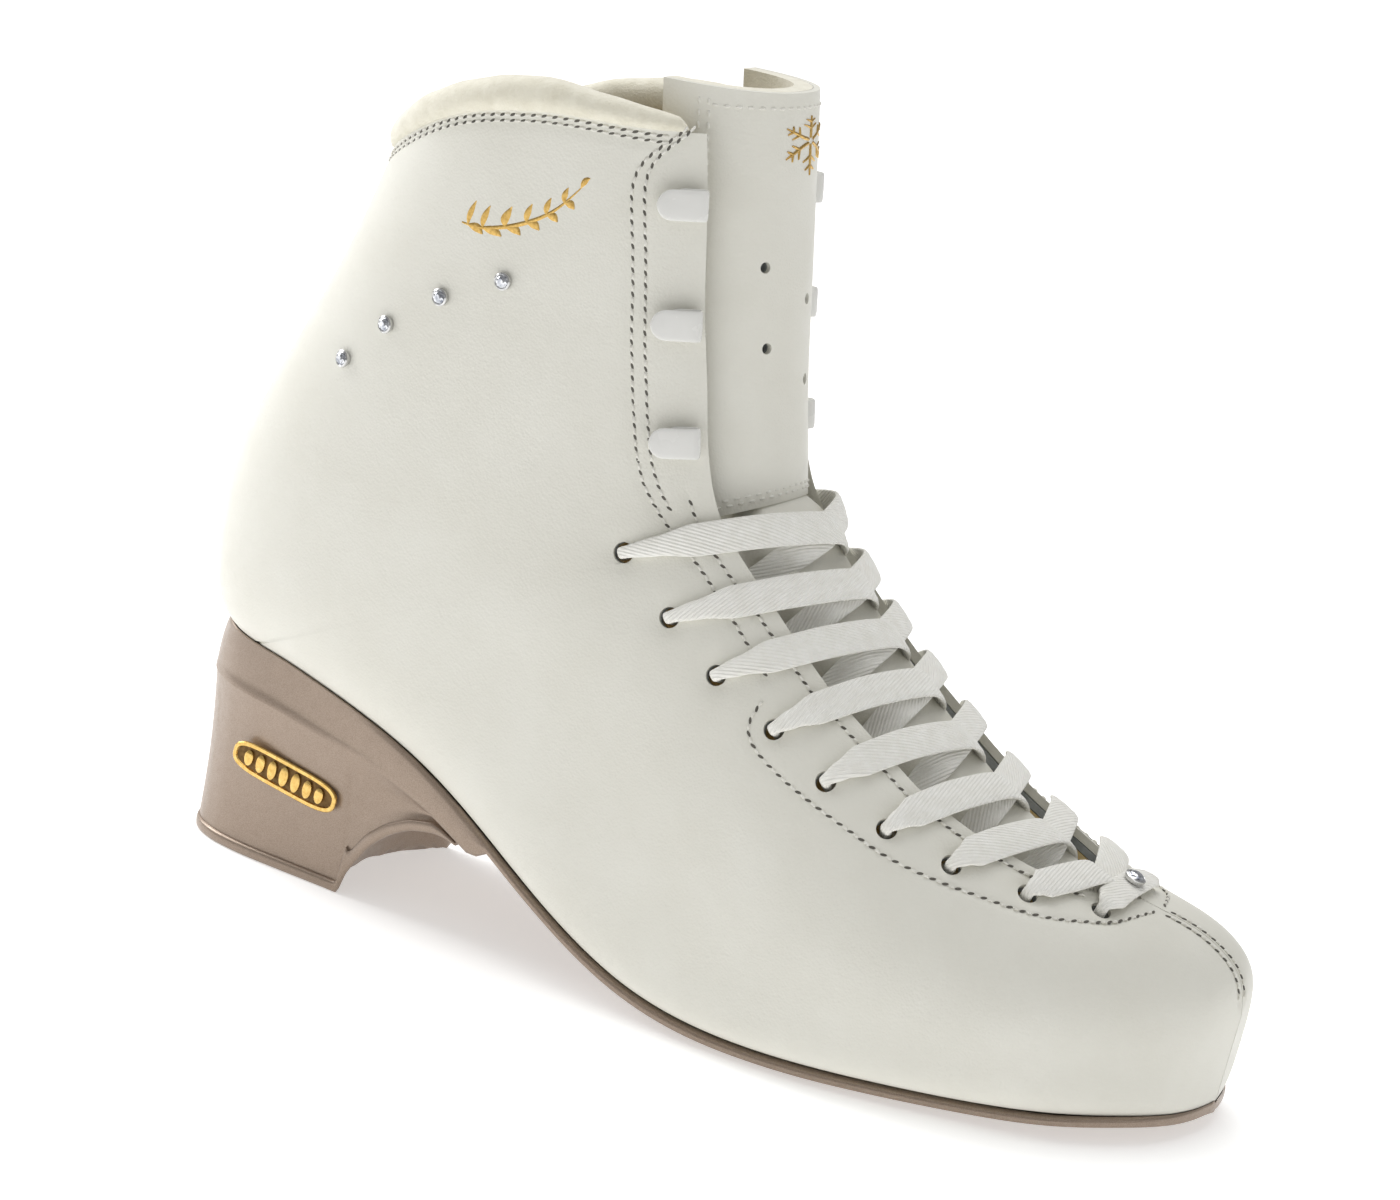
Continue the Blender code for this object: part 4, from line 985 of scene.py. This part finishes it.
def lower_tongue_point(station, share, inset):
    """Lower tongue: close under the lacing gap, deeper under the facings and the upper tongue."""
    station, share = np.broadcast_arrays(np.asarray(station, float), share)
    gap = half_gap(station)
    reach = np.abs(share) * np.minimum(30.0, gap + 7.0)
    sink = smoothstep(reach, gap - 10.0, gap - 2.0)
    depth = LOWER_TONGUE_MIDDLE + (LOWER_TONGUE_SIDE - LOWER_TONGUE_MIDDLE) * sink + inset
    depth = depth + LOWER_TONGUE_TUCK * smoothstep(station, 9.2, 10.2)
    angle = np.sign(-share) * angle_at(station, reach)
    return skin(station, angle) - outward(station, angle)[0] * depth[..., None]


low_rows = np.linspace(*LOWER_TONGUE_ROWS, 60)[:, None]
low_across = np.linspace(-1.0, 1.0, 61)[None, :]
LOWER_TONGUE = {
    "leather": (TONGUE_LEATHER, WHITE, "white_leather", "tongue_lower_leather"),
    "foam": (TONGUE_FOAM, GREY, "grey_foam", "tongue_lower_foam"),
    "lining": (TONGUE_LINING, CREAM, "cream_suede", "tongue_lower_lining"),
}
for name, (depths, look, slot, node) in LOWER_TONGUE.items():
    add_sheet(f"bib_{name}", lower_tongue_point(low_rows, low_across, depths[0]),
              lower_tongue_point(low_rows, low_across, depths[1]), look, "boot", slot, [node])

# ------------------------------------------------------------------ hooks, rivets, crystals

HOOK_PATH = [(0.0, 0.35), (0.35, 0.35), (0.7, 0.35), (0.93, 0.5), (1.0, 1.3), (1.0, 2.3), (0.93, 3.1),
             (0.7, 3.35), (0.4, 3.3), (0.12, 3.25), (-0.08, 3.3), (-0.25, 3.45), (-0.33, 3.6)]


def rounded_width(along, length):
    """Half width of a strip whose ends are round."""
    near = np.minimum(along, length - along)
    share = np.clip(1.0 - near / (HOOK_WIDTH / 2), 0.0, 1.0)
    return HOOK_WIDTH / 2 * math.sqrt(max(1.0 - share * share, 0.02))


def hook_rings(spot, normal, up, sign, station):
    forward = unit(np.cross(normal, up)) * -sign
    reach = (HOOK_REACH[1] - HOOK_REACH[0]) * 1.25
    fold = skin(station, sign * float(angle_at(station, HOOK_REACH[0])))
    length = np.dot(fold - spot, forward)
    fine = spline_rows(HOOK_PATH, np.linspace(0, len(HOOK_PATH) - 1, 60))
    path = np.array([spot + forward * (length - (1.0 - f) * reach) + normal * h for f, h in fine])
    path = path + normal * HOOK_THICK / 2
    along = np.concatenate([[0.0], np.cumsum(np.linalg.norm(np.diff(path, axis=0), axis=1))])
    rings = []
    for n, point in enumerate(path):
        run = unit(path[min(n + 1, len(path) - 1)] - path[max(n - 1, 0)])
        thick = unit(np.cross(run, up))
        half = rounded_width(along[n], along[-1])
        turns = np.linspace(0, 2 * math.pi, 20, endpoint=False)
        rings.append([point + up * half * rounded(math.cos(a), 0.35)
                      + thick * HOOK_THICK / 2 * rounded(math.sin(a), 0.8) for a in turns])
    return rings


for side, sign in SIDES.items():
    for number, station in enumerate(HOOK_STATIONS, 1):
        spot, normal, up = rivet_spots(sign)[number - 1]
        hook = add_rings(f"speed_{side}_{number}", hook_rings(spot, normal, up, sign, station), ENAMEL,
                         "boot", "white_enamel", [f"hook_{side}_{number}"], sharp=70.0)
        punch(hook, [(spot, normal, up)], RIVET_RADIUS + 0.15, (1.0, 2.2))
        head = HOOK_THICK + 0.75
        profile = [(-6.3, 1.2), (-6.2, 2.1), (-5.4, 2.3), (-5.3, RIVET_RADIUS), (head, RIVET_RADIUS),
                   (head, 2.2), (head + 0.2, 2.1), (head + 0.45, 1.5), (head + 0.55, 0.5)]
        add_rings(f"stud_{side}_{number}", turned_rings(spot, normal, up, profile, 28), STEEL, "boot",
                  "steel", [f"rivet_{side}_{number}"])


def faceted(spot, normal, up, girdle, crown, sides=8):
    """Cut stone: table, crown facets turned half a step from the girdle, short pavilion."""
    cut = [(0.5, girdle * 0.7, 0.0), (0.95, girdle, 0.0), (1.15, girdle, 0.0),
           (1.15 + crown * 0.6, girdle * 0.82, 0.5), (1.15 + crown, girdle * 0.5, 0.0)]
    third = np.cross(normal, up)
    rings = []
    for height, radius, twist in cut:
        turns = [2 * math.pi * (n + twist) / sides for n in range(sides)]
        rings.append([spot + normal * height + radius * (math.cos(a) * up + math.sin(a) * third)
                      for a in turns])
    return rings


def gem(name, seat_name, spot, normal, up, radius, nodes):
    cup = [(0.0, radius + 0.35), (0.5, radius + 0.55), (1.0, radius + 0.5), (1.25, radius + 0.15),
           (1.15, radius - 0.05), (0.4, radius - 0.1)]
    add_rings(seat_name, turned_rings(spot, normal, up, cup, 32), STEEL, "boot", "steel", [nodes[0]])
    # the stone's mottled colour is painted sparkle and painted dark reflections
    add_rings(name, faceted(spot, normal, up, radius, 0.75), CRYSTAL_PAINTED_SPARKLE, "boot", "crystal", [nodes[1]],
              sharp=5.0)


for number, (station, angle) in enumerate(CRYSTALS, 1):
    spot, normal, up = wall_spot(station, angle)
    gem(f"gem_{number}", f"cup_{number}", spot + normal * 0.35, normal, up, CRYSTAL_RADIUS - 0.1,
        (f"crystal_setting_{number}", f"crystal_{number}"))

# ------------------------------------------------------------------ lace


def lace_point(station, across, depth):
    """Place across the gap, at a depth along the normal; positive lies on the lateral side."""
    angle = math.copysign(float(angle_at(station, abs(across))), across)
    return skin(station, angle) - outward(station, angle)[0] * depth


def strand(start, end, side, middle):
    """Way points from the outside of one eyelet, over, then under the other edge to the next."""
    (s0, a0), (s1, a1) = start, end

    def at(share, depth, neck):
        across = side * (a0 - (a0 + a1) * share)
        station = s0 + (s1 - s0) * share
        return (lace_point(station, across, depth), neck)

    under = 1.0 - (a1 - float(half_gap(s1)) + 2.0) / (a0 + a1)
    return [at(0.0, -0.2, 0.0), at(0.035, ON_TOP + 0.2, 0.35), at(0.09, ON_TOP, 0.95),
            at(0.25, ON_TOP, 1.0), at(0.5, middle, 1.0), at(0.5 + 0.5 * (under - 0.5), 1.2, 0.95),
            at(under, UNDER_EDGE - 0.2, 0.8), at(under + 0.5 * (1 - under), UNDER_EDGE, 0.6),
            at(0.98, UNDER_EDGE - 0.1, 0.1), at(1.0, 5.6, 0.0), at(1.0, 2.2, 0.0)]


def lace_tail(side):
    """End of the lace behind a top eyelet, tucked inside the cuff."""
    station, across = EYELETS[0]
    base = float(angle_at(station, across))
    points = []
    for turn, depth, wide in ((0.66, 12.0, 0.4), (0.5, 9.5, 1.0), (0.28, 7.2, 1.0),
                              (0.12, 6.7, 0.8), (0.02, 6.6, 0.1), (0.0, 5.0, 0.0), (0.0, 2.2, 0.0)):
        t, angle = station + 0.6 * turn, side * (base + turn)
        points.append((skin(t, angle) - outward(t, angle)[0] * depth, wide))
    return points


def lace_run(side):
    """Strands down the boot that start on one side, and the side where they end."""
    points = []
    for k in range(len(EYELETS) - 1):
        points += strand(EYELETS[k], EYELETS[k + 1], side, CROSS_OVER if side > 0 else CROSS_UNDER)
        side = -side
    return points, side


def lace_route():
    first, side = lace_run(1.0)
    second, _ = lace_run(-1.0)
    station, across = EYELETS[-1]
    bar = []
    for share in (1.0, 0.93, 0.75, 0.5, 0.25, 0.0, -0.25, -0.5, -0.75, -0.93, -1.0):
        wide = 0.0 if abs(share) == 1.0 else 0.4 if abs(share) > 0.9 else 0.85
        depth = -0.5 if abs(share) == 1.0 else ON_TOP if abs(share) > 0.7 else ON_TOP - 0.5
        bar.append((lace_point(station, side * across * share, depth), wide))
    return lace_tail(1.0) + first + bar + second[::-1] + lace_tail(-1.0)[::-1]


LACE_STEPS = 6


def smooth_route(points):
    """Hermite curve through the way points."""
    places = np.array([p for p, _ in points])
    wide = np.array([w for _, w in points])
    keep_places, keep_widths = [], []
    for n in range(len(places) - 1):
        a, b = places[max(n - 1, 0)], places[n]
        c, d = places[n + 1], places[min(n + 2, len(places) - 1)]
        span = np.linalg.norm(c - b)
        m0 = (c - a) / max(np.linalg.norm(c - a), 1e-6) * span * 0.8
        m1 = (d - b) / max(np.linalg.norm(d - b), 1e-6) * span * 0.8
        for f in np.arange(LACE_STEPS) / LACE_STEPS:
            h = (2 * f ** 3 - 3 * f ** 2 + 1, f ** 3 - 2 * f ** 2 + f, -2 * f ** 3 + 3 * f ** 2,
                 f ** 3 - f ** 2)
            keep_places.append(h[0] * b + h[1] * m0 + h[2] * c + h[3] * m1)
            keep_widths.append(wide[n] + (wide[n + 1] - wide[n]) * smoothstep(f, 0.0, 1.0))
    keep_places.append(places[-1])
    keep_widths.append(wide[-1])
    return np.array(keep_places), np.array(keep_widths)


def along_boot(points):
    """Direction up the fan near each point of the lacing, in the middle plane."""
    stations = np.linspace(2.0, 11.0, 181)
    crest = skin(stations, np.zeros_like(stations), 0.0)
    run = unit(np.gradient(crest, axis=0))
    gaps = np.linalg.norm(crest[None, :, [0, 2]] - points[:, None, [0, 2]], axis=2)
    return run[np.argmin(gaps, axis=1)]


def running_mean(values, reach):
    kernel = np.ones(2 * reach + 1) / (2 * reach + 1)
    padded = np.pad(values, ((reach, reach), (0, 0)), mode="edge")
    return np.stack([np.convolve(padded[:, k], kernel, "valid") for k in range(values.shape[1])], -1)


LACE_RIBS = 6
route, widths = smooth_route(lace_route())
run = unit(np.gradient(route, axis=0))
lengthwise = along_boot(route)
lace_side = unit(running_mean(unit(lengthwise - run * np.sum(lengthwise * run, -1, keepdims=True)), 4))
lace_side = unit(lace_side - run * np.sum(lace_side * run, -1, keepdims=True))
lace_flat = np.cross(run, lace_side)
turns = np.linspace(0, 2 * math.pi, 40, endpoint=False)
rings, braid = [], []
lace_along = np.concatenate([[0.0], np.cumsum(np.linalg.norm(np.diff(route, axis=0), axis=1))])
for n, point in enumerate(route):
    half_wide = 0.5 * (LACE_NECK + (LACE_WIDE - LACE_NECK) * widths[n])
    thick = 0.5 * LACE_THICK * (1.0 + 0.35 * (1.0 - widths[n]))
    u = np.sign(np.cos(turns)) * np.abs(np.cos(turns)) ** 0.7
    ribs = 1.0 + 0.09 * np.cos(u * math.pi * LACE_RIBS) * widths[n]
    v = np.sign(np.sin(turns)) * np.abs(np.sin(turns)) ** 0.75 * ribs
    rings.append(point + np.outer(u * half_wide, lace_side[n]) + np.outer(v * thick, lace_flat[n]))
    braid += [(lace_along[n] * 0.001, value * half_wide * 0.001, 0.0) for value in u]
lace = add_rings("flat_lace", rings, LACE, "boot", "woven_lace", ["lace"], sharp=80.0)
lace.data.attributes.new("braid", "FLOAT_VECTOR", "POINT").data.foreach_set(
    "vector", np.array(braid, np.float32).ravel())

normal, up = outward(EYELETS[-1][0], 0.0)
jewel_spot = lace_point(EYELETS[-1][0], 0.0, ON_TOP - 0.5) + normal * (LACE_THICK / 2 + 0.4)
gem("lace_gem", "lace_cup", jewel_spot, normal, up, 2.0, ("lace_jewel_setting", "lace_jewel"))

# ------------------------------------------------------------------ tongue stitching

INSET_SHARES = (0.80, 0.74)
for number, inset in enumerate(INSET_SHARES):
    low = 0.16 + 0.11 * number
    path_rows = np.concatenate([np.linspace(TOP_ROW - 0.3, low, 200), np.full(160, low),
                                np.linspace(low, TOP_ROW - 0.3, 200)])
    path_shares = np.concatenate([np.full(200, -inset), np.linspace(-inset, inset, 160),
                                  np.full(200, inset)])
    TRACKS.setdefault("tongue", []).append(tongue_track(path_rows, path_shares))
top_shares = np.linspace(-0.74, 0.74, 160)
TRACKS["tongue"].append(tongue_track(np.full(160, TOP_ROW - 0.55), top_shares))
sew("tongue", TRACKS["tongue"], None)
for name in ("tongue_thread", "tongue_holes"):
    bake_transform(bpy.data.objects[name])

# ------------------------------------------------------------------ foil ornaments


def foil_stroke(cluster, line, widths, to_surface):
    """Flat crowned stroke of foil; line is in millimetres on the surface."""
    line = spline_rows(line, np.linspace(0, len(line) - 1, 10 * len(line)))
    widths = spline_rows(np.array(widths)[:, None], np.linspace(0, len(widths) - 1, len(line)))[:, 0]
    run = unit(np.gradient(line, axis=0))
    side = np.stack([-run[:, 1], run[:, 0]], -1)
    outer, inner = [], []
    for u, rise in ((-1.0, 0.06), (-0.5, 0.22), (0.0, 0.27), (0.5, 0.22), (1.0, 0.06)):
        flat = line + side * (widths * 0.5 * u)[:, None]
        place, normal = to_surface(flat)
        outer.append(place + normal * rise)
        inner.append(place - normal * 0.25)
    cluster.add_sheet(np.array(outer), np.array(inner))


SPRIG_CENTRE = (14.26, 1.5)
SPRIG_STEM = [(-15.0, -3.5), (-8.0, -5.2), (0.0, -4.8), (8.0, -2.2), (15.0, 2.8)]
LEAF_LENGTH = 5.5


def on_cuff(flat):
    station, angle = SPRIG_CENTRE
    per_station = np.linalg.norm(skin(station + 0.05, angle) - skin(station - 0.05, angle)) * 10.0
    per_angle = np.linalg.norm(skin(station, angle + 0.05) - skin(station, angle - 0.05)) * 10.0
    t = station + flat[:, 1] / per_station
    around = angle - flat[:, 0] / per_angle
    return skin(t, around), outward(t, around)[0]


sprig = Cluster()
foil_stroke(sprig, SPRIG_STEM, [0.5, 1.2, 1.6, 1.2, 0.5], on_cuff)
stem = spline_rows(SPRIG_STEM, np.linspace(0.3, 4.0, 7))
for number, base in enumerate(stem):
    for lean in (62.0, -50.0) if number < 6 else (20.0,):
        heading = math.radians(lean + 22.0)
        length = LEAF_LENGTH * (1.0 - 0.07 * number)
        tip = base + length * np.array([math.cos(heading), math.sin(heading)])
        bow = 0.5 * (base + tip) + 0.5 * np.array([-math.sin(heading), math.cos(heading)])
        foil_stroke(sprig, [base, bow, tip], [0.5, 2.5, 0.3], on_cuff)
add_piece("cuff_sprig", sprig.points, sprig.faces, FOIL, "boot", "gold_metal")

FLAKE_ROW, FLAKE_SHARE, FLAKE_ARM = 5.75, 0.05, 7.5


def on_tongue(flat):
    rows = FLAKE_ROW + flat[:, 1] / 16.0
    shares = FLAKE_SHARE + flat[:, 0] / (TONGUE_HALF * 1.25)
    return tongue_point(rows, shares, 0.0), tongue_normal(rows, shares)


flake = Cluster()
for arm in range(6):
    turn = math.radians(60.0 * arm + 30.0)
    way = np.array([math.cos(turn), math.sin(turn)])
    foil_stroke(flake, [way * 0.8, way * FLAKE_ARM * 0.5, way * FLAKE_ARM], [0.8, 0.8, 0.4], on_tongue)
    for share, size in ((0.45, 2.3), (0.72, 1.7)):
        for lean in (55.0, -55.0):
            branch = turn + math.radians(lean)
            start = way * FLAKE_ARM * share
            tip = start + size * np.array([math.cos(branch), math.sin(branch)])
            foil_stroke(flake, [start, 0.5 * (start + tip), tip], [0.7, 0.6, 0.3], on_tongue)
add_piece("tongue_flake", flake.points, flake.faces, FOIL, None, "gold_metal")
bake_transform(bpy.data.objects["tongue_flake"])

# ------------------------------------------------------------------ inner parts that keep their mesh

KEPT = {
    BOARD: ["toe_box", "heel_counter", "lasting_board"],
    CORK: ["bottom_filler"],
    CREAM: ["footbed"],
    ENAMEL: ["aglet_lateral", "aglet_medial"],
}
for look, nodes in KEPT.items():
    for node in nodes:
        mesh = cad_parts[node].data
        for slot in range(len(mesh.materials)):
            mesh.materials[slot] = look

# ------------------------------------------------------------------ floor, lights, world


def add_floor():
    mesh = bpy.data.meshes.new("floor")
    mesh.from_pydata([(-6, -6, 0), (6, -6, 0), (6, 6, 0), (-6, 6, 0)], [], [(0, 1, 2, 3)])
    paper = new_look("floor_paper", (0.9, 0.9, 0.9), 0.9, Emission_Strength=0.45)
    mesh.materials.append(paper)
    floor = bpy.data.objects.new("floor", mesh)
    link(floor)


def add_light(name, kind, power, aim, place=(0.0, 0.0, 0.0), **values):
    data = bpy.data.lights.new(name, kind)
    data.energy = power
    for key, value in values.items():
        setattr(data, key, value)
    made = bpy.data.objects.new(name, data)
    made.location = place
    made.rotation_mode = "QUATERNION"
    made.rotation_quaternion = (Vector(aim) - Vector(place)).to_track_quat("-Z", "Y")
    link(made)


# name, place, diameter in metres, watts
SOFTBOXES = [
    ("top", (0.1, 0.1, 1.5), 1.2, 5.0),
    ("back", (-1.2, 0.1, 0.75), 0.8, 9.0),
    ("front", (1.3, -0.3, 0.8), 0.9, 0.6),
]
SOFTBOX_AIM = (0.0, 0.0, 0.1)
SKY_WAY = (0.5, -0.3, -1.0)     # the way its light falls
SKY_STRENGTH = 1.1
SKY_ANGLE = math.radians(50.0)
WORLD_STRENGTH = 0.36

add_floor()
for name, place, size, watts in SOFTBOXES:
    add_light(name, "AREA", watts, SOFTBOX_AIM, place, shape="DISK", size=size)
add_light("sky", "SUN", SKY_STRENGTH, SKY_WAY, angle=SKY_ANGLE)
world = bpy.data.worlds.new("studio")
world.use_nodes = True
world.node_tree.nodes["Background"].inputs["Color"].default_value = (1.0, 1.0, 1.0, 1.0)
world.node_tree.nodes["Background"].inputs["Strength"].default_value = WORLD_STRENGTH
bpy.context.scene.world = world
bpy.context.scene.view_settings.view_transform = "Standard"
